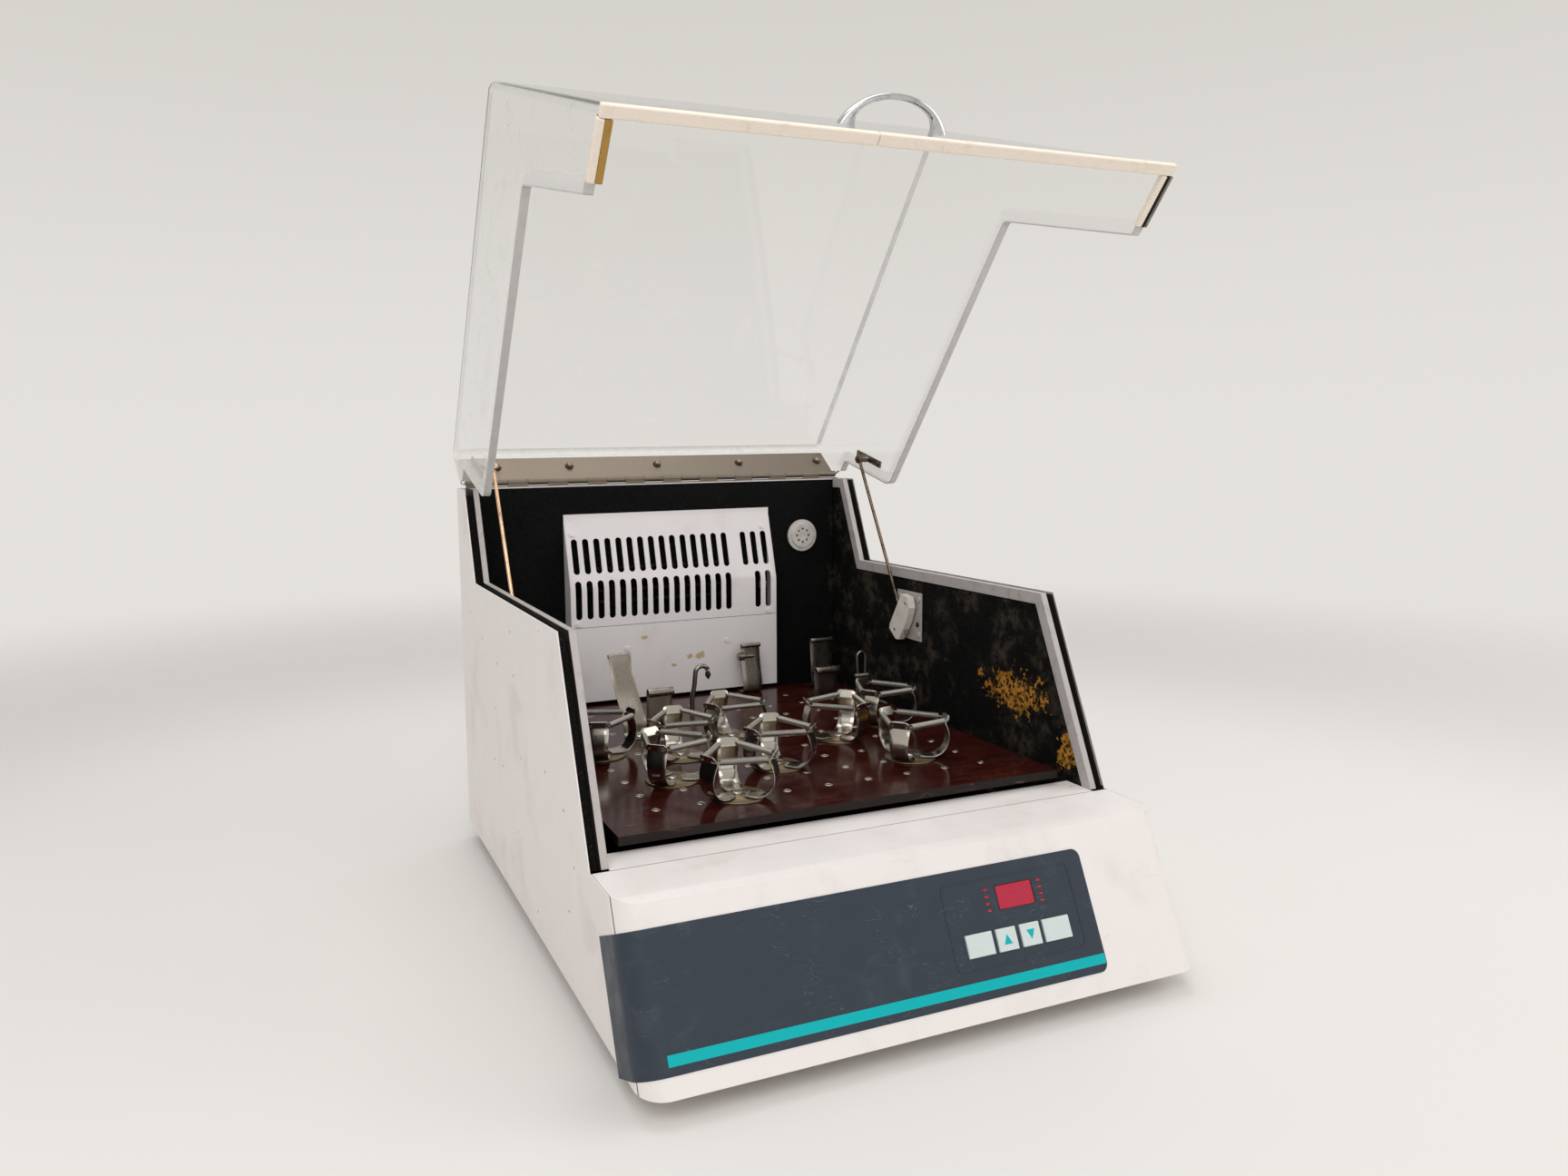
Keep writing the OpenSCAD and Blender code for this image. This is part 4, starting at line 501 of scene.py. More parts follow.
# Each finish: what builds it, and its values.
FINISHES = {
    "case_paint": (case_paint,),
    "heater_paint": (heater_paint,),
    "foam_black": (foam_black,),
    "trim_alloy": (trim_alloy,),
    "gasket_rubber": (gasket_rubber,),
    "overlay_film": (layered, "panel.film", 0.42, (
        (("cloud_patches", 26.0, 0.55, 0.85), 0.25, "66707a"),
        (("broken_scratches", (60.0, 60.0, 240.0), 0.55, 0.004), 0.5, "7d868f"),
        (("scattered_specks", 46.0, 0.045, 0.95), 1, "b9bcbd")),
        (50.0, 0.36, 0.5), ((1500.0, 1.0), 0.00003)),
    "stripe_print": (layered, "panel.stripe", 0.35, (
        (("cloud_patches", 60.0, 0.55, 0.85), 0.2, "16aaa8"),
        (("scattered_specks", 70.0, 0.05, 0.95), 1, "dfe6e6")), (80.0, 0.3, 0.42)),
    "display_red": (layered, "panel.display", 0.16, (
        (("cloud_patches", 130.0, 0.35, 0.75), 0.4, "panel.segment"),), (120.0, 0.08, 0.2)),
    "segment_red": (layered, "panel.segment", 0.3, ((300.0, 1, "b0153f"),)),
    "key_white": (layered, "panel.key", 0.45, ((("cloud_patches", 120.0, 0.52, 0.7), 0.35, "c3d2cf"),),
                  (90.0, 0.35, 0.5), ((1400.0, 1.0), 0.00003)),
    "disc_steel": (layered, "platform.disc", 0.35, ((("cloud_patches", 60.0, 0.45, 0.75), 1, "6f6449"),),
                   (("brushed_lines", (300.0, 300.0, 300.0)), 0.3, 0.45)),
    "board_brown": (board_brown,),
    "lid_clear": (lid_clear,),
    "channel_clear": (channel_clear,),
    # Painted highlight for the rear bend, and painted shade for the side bends.
    "bend_clear": (bend_clear, "f7f5f1", 0.6, 0.8),
    "side_clear": (bend_clear, "c6c3c1", 0.2, 0.32),
    "seal_cream": (seal_foam, "lid.seal", "dccdb0"),
    "seal_old": (seal_foam, "lid.seal_old", "7a5a28"),
    "seal_grey": (seal_foam, "8a847c", "4b463f"),
    "seal_black": (seal_foam, "171513", "2c2722"),
    "cap_white": (plain_plastic, "cfc9c3", "a89f96", 0.4, 120.0),
    "guide_white": (plain_plastic, "e0dad2", "c2b7a6", 0.42, 60.0),
    "plate_grey": (plain_plastic, "b5aeaa", "8d8580", 0.45, 70.0),
    "circuit_green": (plain_plastic, "1b5232", "123a24", 0.4, 90.0),
    "motor_dark": (plain_plastic, "141415", "1f1f21", 0.5, 60.0),
    "wheel_dark": (plain_plastic, "121213", "1b1b1d", 0.5, 60.0),
    "tray_dark": (plain_plastic, "161617", "232221", 0.5, 40.0),
    "inlet_black": (plain_plastic, "141415", "1f1f20", 0.35, 90.0),
    "switch_black": (plain_plastic, "1a1a1b", "262627", 0.3, 90.0),
    "foot_rubber": (plain_plastic, "1a1918", "2a2826", 0.75, 120.0, 0.0003),
    # Dark plastic; also used for painted shade in the guide holes and under the acorn screws.
    "slot_dark": (plain_plastic, "17130f", "2b241c", 0.7, 200.0),
    "edging_pale": (plain_plastic, "cbc8c5", "b9b6b3", 0.35),
    "lip_paint": (plain_plastic, "bdb6b1", "8f8782", 0.45),
    "steel": (worked_metal, "c3bfba", "a39d96", 0.24, STEEL_LINES),
    "handle_alloy": (worked_metal, "c9c9cb", "a6a6a9", 0.16, STEEL_LINES),
    "crank_steel": (worked_metal, "b7b5b2", "97948f", 0.28, FINE_LINES),
    "pulley_alloy": (worked_metal, "c2c2c4", "a2a2a4", 0.3, FINE_LINES),
    "rod_bronze": (worked_metal, "6b5a4a", "3f352c", 0.22, FINE_LINES),
    "rod_copper": (worked_metal, "e8c0a0", "b79478", 0.22, FINE_LINES),
    "element_steel": (plain_metal, "26221f", 0.6),
    "clamp_steel": (plain_metal, "b9b3aa", 0.16),
    "hinge_satin": (plain_metal, "7d7368", 0.42, 0.1),
    "bracket_steel": (plain_metal, "7a7067", 0.3),
    "acorn_steel": (plain_metal, "8a7c6c", 0.2),
    "rim_steel": (plain_metal, "d4cfc8", 0.22),
    "spring_wire": (plain_metal, "98948e", 0.28),
    "strip_steel": (plain_metal, "8d857c", 0.26),
}
# What a layered finish sets beside its base, roughness and layers.
SHEEN = {
    "overlay_film": {"specular": 0.3}, "stripe_print": {"specular": 0.2}, "display_red": {"coat": 0.25},
    "segment_red": {"coat": 0.6}, "disc_steel": {"metal": 1.0},
}


def finish(name):
    """The finish of that name, built the first time it is asked for."""
    made = bpy.data.materials.get(name + "_finish")
    if made is None:
        build, *values = FINISHES[name]
        made = build(name, *values, **SHEEN.get(name, {}))
    return made


# Mesh helpers.

def smooth_by_angle(mesh, angle):
    """Shades smooth and keeps edges sharper than the angle crisp."""
    form = bmesh.new()
    form.from_mesh(mesh)
    bmesh.ops.recalc_face_normals(form, faces=form.faces)
    for face in form.faces:
        face.smooth = True
    for edge in form.edges:
        edge.smooth = len(edge.link_faces) == 2 and edge.calc_face_angle() < math.radians(angle)
    form.to_mesh(mesh)
    form.free()


def new_mesh(name, points, faces, angle=35):
    """Mesh from points and faces in metres."""
    mesh = bpy.data.meshes.new(name)
    mesh.from_pydata([tuple(p) for p in points], [], faces)
    mesh.update()
    smooth_by_angle(mesh, angle)
    return mesh


def joined(name, meshes, angle=35):
    """One mesh from several, each with its own placing."""
    form = bmesh.new()
    for mesh, place in meshes:
        before = len(form.verts)
        form.from_mesh(mesh)
        form.verts.ensure_lookup_table()
        for vert in form.verts[before:]:
            vert.co = place @ vert.co
    mesh = bpy.data.meshes.new(name)
    form.to_mesh(mesh)
    form.free()
    smooth_by_angle(mesh, angle)
    return mesh


def piece(name, mesh, finish_name, body, place=None, bevel=0.0, segments=2, shared=False):
    """Object in the scene that wears a finish and rides on a body; a shared mesh keeps its own frame."""
    thing = bpy.data.objects.new(name, mesh)
    bpy.context.scene.collection.objects.link(thing)
    if not mesh.materials:
        mesh.materials.append(finish(finish_name))
    if place is not None and shared:
        thing.matrix_world = place
    elif place is not None:
        mesh.transform(place)
    if bevel:
        soften(thing, bevel, segments)
    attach(thing, body)
    return thing


def soften(thing, width, segments=2, angle=38, harden=True):
    """Rounds the edges of a piece a little."""
    bevel = thing.modifiers.new("edge_rounding", "BEVEL")
    bevel.width = width
    bevel.segments = segments
    bevel.limit_method = "ANGLE"
    bevel.angle_limit = math.radians(angle)
    bevel.use_clamp_overlap = True
    bevel.harden_normals = harden
    bevel.miter_outer = "MITER_ARC"


def applied(thing):
    """Mesh of an object with its modifiers applied; the object is removed."""
    bpy.context.view_layer.update()
    graph = bpy.context.evaluated_depsgraph_get()
    mesh = bpy.data.meshes.new_from_object(thing.evaluated_get(graph))
    bpy.data.objects.remove(thing)
    return mesh


def loose(name, mesh):
    """Plain object for a shape that is still being made."""
    thing = bpy.data.objects.new(name, mesh)
    bpy.context.scene.collection.objects.link(thing)
    return thing


def cut_out(mesh, cutters):
    """Mesh with the cutter meshes taken away from it."""
    body = loose("body_shape", mesh)
    tools = [loose("cutter_shape", cutter) for cutter in cutters]
    for tool in tools:
        cut = body.modifiers.new("cut", "BOOLEAN")
        cut.operation = "DIFFERENCE"
        cut.solver = "EXACT"
        cut.object = tool
    result = applied(body)
    for tool in tools:
        bpy.data.objects.remove(tool)
    return result


def lathe(name, profile, steps=48, angle=35):
    """Solid turned round the Z axis from a profile of (radius, height)."""
    points, faces = [], []
    for i in range(steps):
        turn = 2 * math.pi * i / steps
        points += [(r * math.cos(turn), r * math.sin(turn), z) for r, z in profile]
    count = len(profile)
    for i in range(steps):
        here, there = i * count, (i + 1) % steps * count
        for j in range(count):
            k = (j + 1) % count
            faces.append((here + j, there + j, there + k, here + k))
    mesh = new_mesh(name, points, faces, angle)
    form = bmesh.new()
    form.from_mesh(mesh)
    bmesh.ops.remove_doubles(form, verts=form.verts, dist=1e-7)
    form.to_mesh(mesh)
    form.free()
    smooth_by_angle(mesh, angle)
    return mesh


def heading(line, i):
    """Direction of a line of points at one of them."""
    return (line[min(i + 1, len(line) - 1)] - line[max(i - 1, 0)]).normalized()


def ringed(name, points, count, angle, caps=None):
    """Mesh of closed rings of count points, one after another, with both ends capped."""
    last = len(points) - count
    faces = [(at + k, at + (k + 1) % count, at + count + (k + 1) % count, at + count + k)
             for at in range(0, last, count) for k in range(count)]
    faces += [tuple(at + k for k in cap) for at in (0, last) for cap in caps or [range(count)]]
    return new_mesh(name, points, faces, angle)


def tube(name, points, radius, sides=8):
    """Closed tube along a line of points; radius is one number or one for each point."""
    points = [Vector(p) for p in points]
    radii = radius if isinstance(radius, list) else [radius] * len(points)
    normal = heading(points[:2], 0).orthogonal().normalized()
    verts = []
    for i, point in enumerate(points):
        along = heading(points, i)
        normal = (normal - along * normal.dot(along)).normalized()
        side = along.cross(normal)
        for k in range(sides):
            turn = 2 * math.pi * k / sides
            verts.append(point + (normal * math.cos(turn) + side * math.sin(turn)) * radii[i])
    return ringed(name, verts, sides, 60)


def slab(name, low, high):
    """Box from its two corners."""
    form = bmesh.new()
    bmesh.ops.create_cube(form, size=1)
    low, high = Vector(low), Vector(high)
    for vert in form.verts:
        vert.co = Vector(low[i] + (vert.co[i] + 0.5) * (high[i] - low[i]) for i in range(3))
    mesh = bpy.data.meshes.new(name)
    form.to_mesh(mesh)
    form.free()
    return mesh


def prism(name, outline, low, high, angle=35):
    """Flat outline of (x, y) points raised from low to high."""
    count = len(outline)
    points = [(x, y, low) for x, y in outline] + [(x, y, high) for x, y in outline]
    faces = [tuple(reversed(range(count))), tuple(range(count, 2 * count))]
    faces += [(i, (i + 1) % count, (i + 1) % count + count, i + count) for i in range(count)]
    return new_mesh(name, points, faces, angle)


def rounded_outline(low, high, radius, steps=6):
    """Rectangle with rounded corners as (x, y) points."""
    right, left, back, front = high[0] - radius, low[0] + radius, high[1] - radius, low[1] + radius
    points = []
    for x, y, start in ((right, back, 0), (left, back, 90), (left, front, 180), (right, front, 270)):
        turns = [math.radians(start + 90 * i / steps) for i in range(steps + 1)]
        points += [(x + radius * math.cos(turn), y + radius * math.sin(turn)) for turn in turns]
    return points


def curved(a, b, c, d, steps):
    """Points along a cubic curve from a to d with handles b and c."""
    shares = [(1 - i / steps, i / steps) for i in range(steps + 1)]
    return [a * s ** 3 + b * (3 * s * s * t) + c * (3 * s * t * t) + d * t ** 3 for s, t in shares]


def arch_over(start, radius, degrees, steps):
    """Arc as (x, z) points that rises from a start and bends over towards +x."""
    return [start + Vector((radius - radius * math.cos(turn), radius * math.sin(turn)))
            for turn in (math.radians(degrees) * i / steps for i in range(steps + 1))]


def bent_sheet(name, line, widths, thick):
    """Sheet bent along a line of (out, up) points, with a width at each, thickened on its outer side."""
    across = 4
    row = across + 1
    points = [(out, wide * (j / across - 0.5), up)
              for (out, up), wide in zip(line, widths) for j in range(row)]
    faces = [(at + j, at + j + 1, at + row + j + 1, at + row + j)
             for at in range(0, len(points) - row, row) for j in range(across)]
    thing = loose(name, new_mesh(name, points, faces, 80))
    shell = thing.modifiers.new("sheet", "SOLIDIFY")
    shell.thickness = thick
    shell.offset = -1
    shell.use_even_offset = True
    edge = thing.modifiers.new("edges", "BEVEL")
    edge.width = thick * 0.3
    edge.segments = 2
    edge.limit_method = "ANGLE"
    edge.angle_limit = math.radians(50)
    mesh = applied(thing)
    smooth_by_angle(mesh, 40)
    return mesh


def turned(degrees, axis):
    """Turn about an axis."""
    return Matrix.Rotation(math.radians(degrees), 4, axis)


def moved(x, y, z):
    """Move by a length along each axis."""
    return Matrix.Translation((x, y, z))


def repeated(name, mesh, places, angle=35):
    """One mesh from copies of another, one at each place."""
    return joined(name, [(mesh, place) for place in places], angle)


# Frame of the console's leaning face: x across, y up the face, z out of it.
FACE = moved(0, -MID_DEPTH, 0.020) @ turned(FACE_LEAN, "X")
# Places a piece that is described on the closed lid.
OPENED = Matrix.Translation(HINGE) @ turned(-LID_OPEN, "X") @ Matrix.Translation(-HINGE)


# CAD nodes that stay, by their finish and their edge rounding in metres.
NODE_FINISHES = (
    ("case_paint", 0.0003, "base_pan left_side_panel right_side_panel"),
    ("case_paint", 0.0, "rear_panel"),
    ("case_paint", 0.0005, "console_cover"),
    ("overlay_film", 0.0, "control_overlay"),
    ("key_white", 0.0005, "start_key up_key down_key select_key"),
    ("circuit_green", 0.0, "circuit_boards"),
    ("foam_black", 0.0008, "left_liner right_liner rear_liner chamber_floor"),
    ("trim_alloy", 0.0003, "edge_trims"),
    ("gasket_rubber", 0.0006, "groove_gaskets"),
    ("heater_paint", 0.00015, "heater_cover"),
    ("element_steel", 0.0, "heater_element"),
    ("motor_dark", 0.0006, "blower_motor"),
    ("wheel_dark", 0.0, "blower_wheel"),
    ("cap_white", 0.0006, "vent_port_cap"),
    ("steel", 0.0003, "temperature_probe"),
    ("steel", 0.0, "hinge_pin"),
    ("hinge_satin", 0.0002, "hinge_cabinet_leaf hinge_lid_leaf"),
    ("bracket_steel", 0.0003, "stay_lid_brackets"),
    ("guide_white", 0.0005, "left_stay_guide right_stay_guide"),
    ("rod_copper", 0.0003, "left_stay_rod"),
    ("rod_bronze", 0.0003, "right_stay_rod"),
    ("plate_grey", 0.0003, "stay_wall_brackets"),
    ("board_brown", 0.0005, "platform_board"),
    ("tray_dark", 0.0004, "platform_tray"),
    ("crank_steel", 0.0004, "main_crank idler_crank_left idler_crank_right"),
    ("crank_steel", 0.0003, "shaft_bearings"),
    ("pulley_alloy", 0.0004, "drive_pulley motor_pulley"),
    ("inlet_black", 0.0, "drive_belt"),
    ("inlet_black", 0.0004, "power_inlet"),
    ("motor_dark", 0.0008, "drive_motor"),
    ("switch_black", 0.0004, "power_switch"),
    ("foot_rubber", 0.0008, "feet"),
)


class SHAKER_OT_dress_solids(bpy.types.Operator):
    """Gives every solid that stays its finish and rounds its edges a little."""
    bl_idname = "shaker.dress_solids"
    bl_label = "Dress the solids"

    def execute(self, context):
        for finish_name, bevel, names in NODE_FINISHES:
            for name in names.split():
                self.dress(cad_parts[name], finish(finish_name), bevel)
        return {"FINISHED"}

    def dress(self, node, material, bevel):
        """One solid: its material, welded points, even shading and rounded edges."""
        node.data.materials.clear()
        node.data.materials.append(material)
        node.modifiers.new("weld", "WELD").merge_threshold = 0.000001
        node.modifiers.new("shading", "NODES").node_group = angle_shading()
        if bevel:
            flat = node.modifiers.new("flat_faces", "DECIMATE")
            flat.decimate_type = "DISSOLVE"
            flat.angle_limit = math.radians(0.4)
            soften(node, bevel, harden=False)
        even = node.modifiers.new("even_normals", "WEIGHTED_NORMAL")
        even.keep_sharp = True
        even.weight = 50


def angle_shading():
    """Geometry group that shades smooth and keeps edges over 35 degrees crisp."""
    name = "angle_shading"
    if name in bpy.data.node_groups:
        return bpy.data.node_groups[name]
    tree = bpy.data.node_groups.new(name, "GeometryNodeTree")
    tree.interface.new_socket(name="Geometry", in_out="INPUT", socket_type="NodeSocketGeometry")
    tree.interface.new_socket(name="Geometry", in_out="OUTPUT", socket_type="NodeSocketGeometry")
    start = tree.nodes.new("NodeGroupInput")
    end = tree.nodes.new("NodeGroupOutput")
    strip = add(tree, "GeometryNodeRemoveAttribute", Geometry=start.outputs[0], Name="custom_normal")
    faces = add(tree, "GeometryNodeSetShadeSmooth", domain="FACE", Geometry=strip.outputs[0])
    edge_angle = tree.nodes.new("GeometryNodeInputMeshEdgeAngle").outputs[0]
    soft = math_node(tree, "LESS_THAN", edge_angle, math.radians(35))
    edges = add(tree, "GeometryNodeSetShadeSmooth", domain="EDGE", Geometry=faces.outputs[0])
    tree.links.new(soft, edges.inputs["Shade Smooth"])
    tree.links.new(edges.outputs[0], end.inputs[0])
    return tree


# The console's marks and keys: places in the face's frame, in metres.
KEY_SPOTS = {"up_key": 0.0685, "down_key": 0.0928}
KEY_MIDDLE = 0.0585
KEY_FRONT = 0.0021
ARROW_HALF = 0.0042
DISPLAY = Vector((0.087, 0.092))
DISPLAY_HALF = Vector((0.018, 0.0095))
DISPLAY_BACK = -0.0098
FILM_TOP = 0.0005
STRIPE = ((-0.2405, 0.0224), (0.1622, 0.0306))


def rounded_plate(name, middle, half, radius, low, high, steps=6):
    """Plate with rounded corners round a middle, raised from low to high."""
    return prism(name, rounded_outline(middle - half, middle + half, radius, steps), low, high)


class SHAKER_OT_console_details(bpy.types.Operator):
    """Stripe, display with unlit segments, lamps and key arrows."""
    bl_idname = "shaker.console_details"
    bl_label = "Console details"

    def execute(self, context):
        (left, low), (right, high) = STRIPE
        corners = [(left, low), (right, low), (right, high), (left, high)]
        self.mark("accent_stripe", prism("accent_stripe", corners, FILM_TOP, 0.00066), "stripe_print")
        window = rounded_plate("display_lens", DISPLAY, DISPLAY_HALF, 0.0012, DISPLAY_BACK, 0.0007)
        lens = self.mark("display_lens", window, "display_red", "display_red", 0.0002)
        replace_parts(lens, "display_window")
        outline = rounded_outline(DISPLAY - DISPLAY_HALF * 1.06, DISPLAY + DISPLAY_HALF * 1.09, 0.0016)
        hole = rounded_plate("rim_hole", DISPLAY, DISPLAY_HALF, 0.0012, -0.002, 0.002)
        rim = cut_out(prism("display_rim", outline, -0.001, 0.0006), [hole])
        self.mark("display_rim", rim, "slot_dark", "display_red")
        self.digits()
        self.lamps()
        for key, x in KEY_SPOTS.items():
            up = 1 if key == "up_key" else -1
            base = KEY_MIDDLE - up * 0.0040
            shape = [(x - ARROW_HALF, base), (x + ARROW_HALF, base), (x, KEY_MIDDLE + up * ARROW_HALF)]
            arrow = prism(key + "_arrow", shape, KEY_FRONT - 0.0002, KEY_FRONT + 0.00005)
            self.mark(key + "_arrow", arrow, "stripe_print", body=key.replace("_key", ""))
        return {"FINISHED"}

    def mark(self, name, mesh, finish_name, slot="overlay_film", bevel=0.0, body="cabinet"):
        """Piece that is described on the console's face."""
        return piece(name, mesh, finish_name, body, FACE, bevel)

    def digits(self):
        """Four places of seven unlit segments, just proud of the window."""
        wide, tall, thick, pitch = 0.0052, 0.0116, 0.0011, 0.0078
        short = thick * 0.7
        bars = []
        for i in range(4):
            middle = DISPLAY + Vector(((i - 1.5) * pitch, 0))
            bars += [(middle + Vector((0, y)), Vector((wide / 2 - short, 0)))
                     for y in (-tall / 2, 0, tall / 2)]
            bars += [(middle + Vector((x, y)), Vector((0, tall / 4 - short)))
                     for x in (-wide / 2, wide / 2) for y in (-tall / 4, tall / 4)]
        edge = Vector((thick, thick)) / 2
        meshes = [rounded_plate("bar", spot, reach + edge, thick * 0.45, FILM_TOP, 0.00074, 3)
                  for spot, reach in bars]
        segments = joined("display_segments", [(mesh, Matrix()) for mesh in meshes])
        self.mark("display_segments", segments, "segment_red", "display_red")

    def lamps(self):
        """Four small lamps on each side of the display."""
        half = Vector((0.00195, 0.00095))
        pitch, drop = 0.0056, 0.0003
        spots = [DISPLAY + Vector((x, (i - 1.5) * pitch - drop)) for x in (-0.0285, 0.0265) for i in range(4)]
        meshes = [rounded_plate("lamp", spot, half, 0.0007, DISPLAY_BACK, 0.0006, 4) for spot in spots]
        lamps = joined("mark_lamps", [(mesh, Matrix()) for mesh in meshes])
        self.mark("mark_lamps", lamps, "display_red", "display_red", 0.0002)


# Closed lid seen from the side: (depth, height) on the cabinet's scale, in millimetres.
LID_FOOT = Vector((67.5, 154.0))
LID_BROW = Vector((194.0, 511.0))
LID_CROWN = Vector((658.5, 511.0))
LID_HEEL = Vector((658.5, 450.0))
LID_HALF = 0.2597
BEND_RADIUS = 12.0
# Lower edge of a side, from the back to the front foot, and the lip of the skin below it.
STEP_EDGE = [Vector(p) for p in ((642.0, 441.0), (636.0, 433.0), (617.4, 433.0), (571.4, 327.0),
                                 (211.3, 327.0), (133.8, 154.0))]
LIP_EDGE = [Vector(p) for p in ((657.0, 438.0), (613.0, 438.0), (567.0, 332.0), (206.5, 332.0),
                                (127.5, 150.5))]
# Axes of an outline given in (across, up) or (depth, up), which is raised along the third one.
FROM_FRONT = Matrix(((1, 0, 0, 0), (0, 0, 1, 0), (0, 1, 0, 0), (0, 0, 0, 1)))
FROM_SIDE = Matrix(((0, 0, 1, 0), (1, 0, 0, 0), (0, 1, 0, 0), (0, 0, 0, 1)))


def rounded_corner(a, b, c, radius, steps=8):
    """Arc that rounds the corner at b between a and c."""
    u, v = (a - b).normalized(), (c - b).normalized()
    half = math.acos(u.dot(v)) / 2
    middle = b + (u + v).normalized() * (radius / math.sin(half))
    start = b + u * (radius / math.tan(half)) - middle
    end = b + v * (radius / math.tan(half)) - middle
    turn = start.angle_signed(end)
    return [middle + Matrix.Rotation(-turn * i / steps, 2) @ start for i in range(steps + 1)]


def rounded_line(corners, radii, steps=8):
    """Line through the corners; each inner one is rounded by its radius, or kept where that is 0."""
    points = [corners[0]]
    for i, radius in enumerate(radii, 1):
        points += rounded_corner(*corners[i - 1:i + 2], radius, steps) if radius else [corners[i]]
    return points + [corners[-1]]


def both_sides(name, path, profile, angle=40):
    """One cross-section, (beyond the lid's half width, into the sheet) in metres, along both side edges."""
    caps = [(0, 1, 2, 3)] if len(profile) == 4 else [(0, 1, 2, 3), (0, 3, 4, 7), (4, 5, 6, 7)]
    meshes = []
    for hand in (-1, 1):
        points = []
        for i, here in enumerate(path):
            along = heading(path, i)
            for out, up in profile:
                spot = here / 1000 + Vector((along.y, -along.x)) * up
                points.append((hand * (LID_HALF + out), spot.x - MID_DEPTH, spot.y))
        meshes.append((ringed(name, points, len(profile), 40, caps), Matrix()))
    return joined(name, meshes, angle)


def on_lid(name, mesh, finish_name, place=Matrix(), bevel=0.0, segments=2):
    """Piece of the lid that is described on the closed lid."""
    return piece(name, mesh, finish_name, "lid", OPENED @ place, bevel, segments)


# Strips of the seal on the closed lid: left, right, front and back, finish and edge rounding, in metres.
SEAL_LOW, SEAL_TOP = 0.1483, 0.1539
SEAL_BAR, SEAL_RETURN = (0.0665, 0.0765), (0.0768, 0.1244)
SEALS = (
    ("bar_left", -LID_HALF, -0.0372, SEAL_BAR, "seal_cream", 0.0012),
    ("bar_right", -0.0366, LID_HALF, SEAL_BAR, "seal_cream", 0.0012),
    ("return_left_cream", -LID_HALF - 0.0012, -LID_HALF + 0.0048, SEAL_RETURN, "seal_cream", 0.0012),
    ("return_left_old", -LID_HALF + 0.0049, -LID_HALF + 0.0108, SEAL_RETURN, "seal_old", 0.0012),
    ("return_right_cream", LID_HALF - 0.0108, LID_HALF - 0.0048, SEAL_RETURN, "seal_cream", 0.0012),
    ("return_right_black", LID_HALF - 0.0047, LID_HALF - 0.0018, SEAL_RETURN, "seal_black", 0.0006),
    ("return_right_grey", LID_HALF - 0.0017, LID_HALF + 0.0013, SEAL_RETURN, "seal_grey", 0.0006),
)


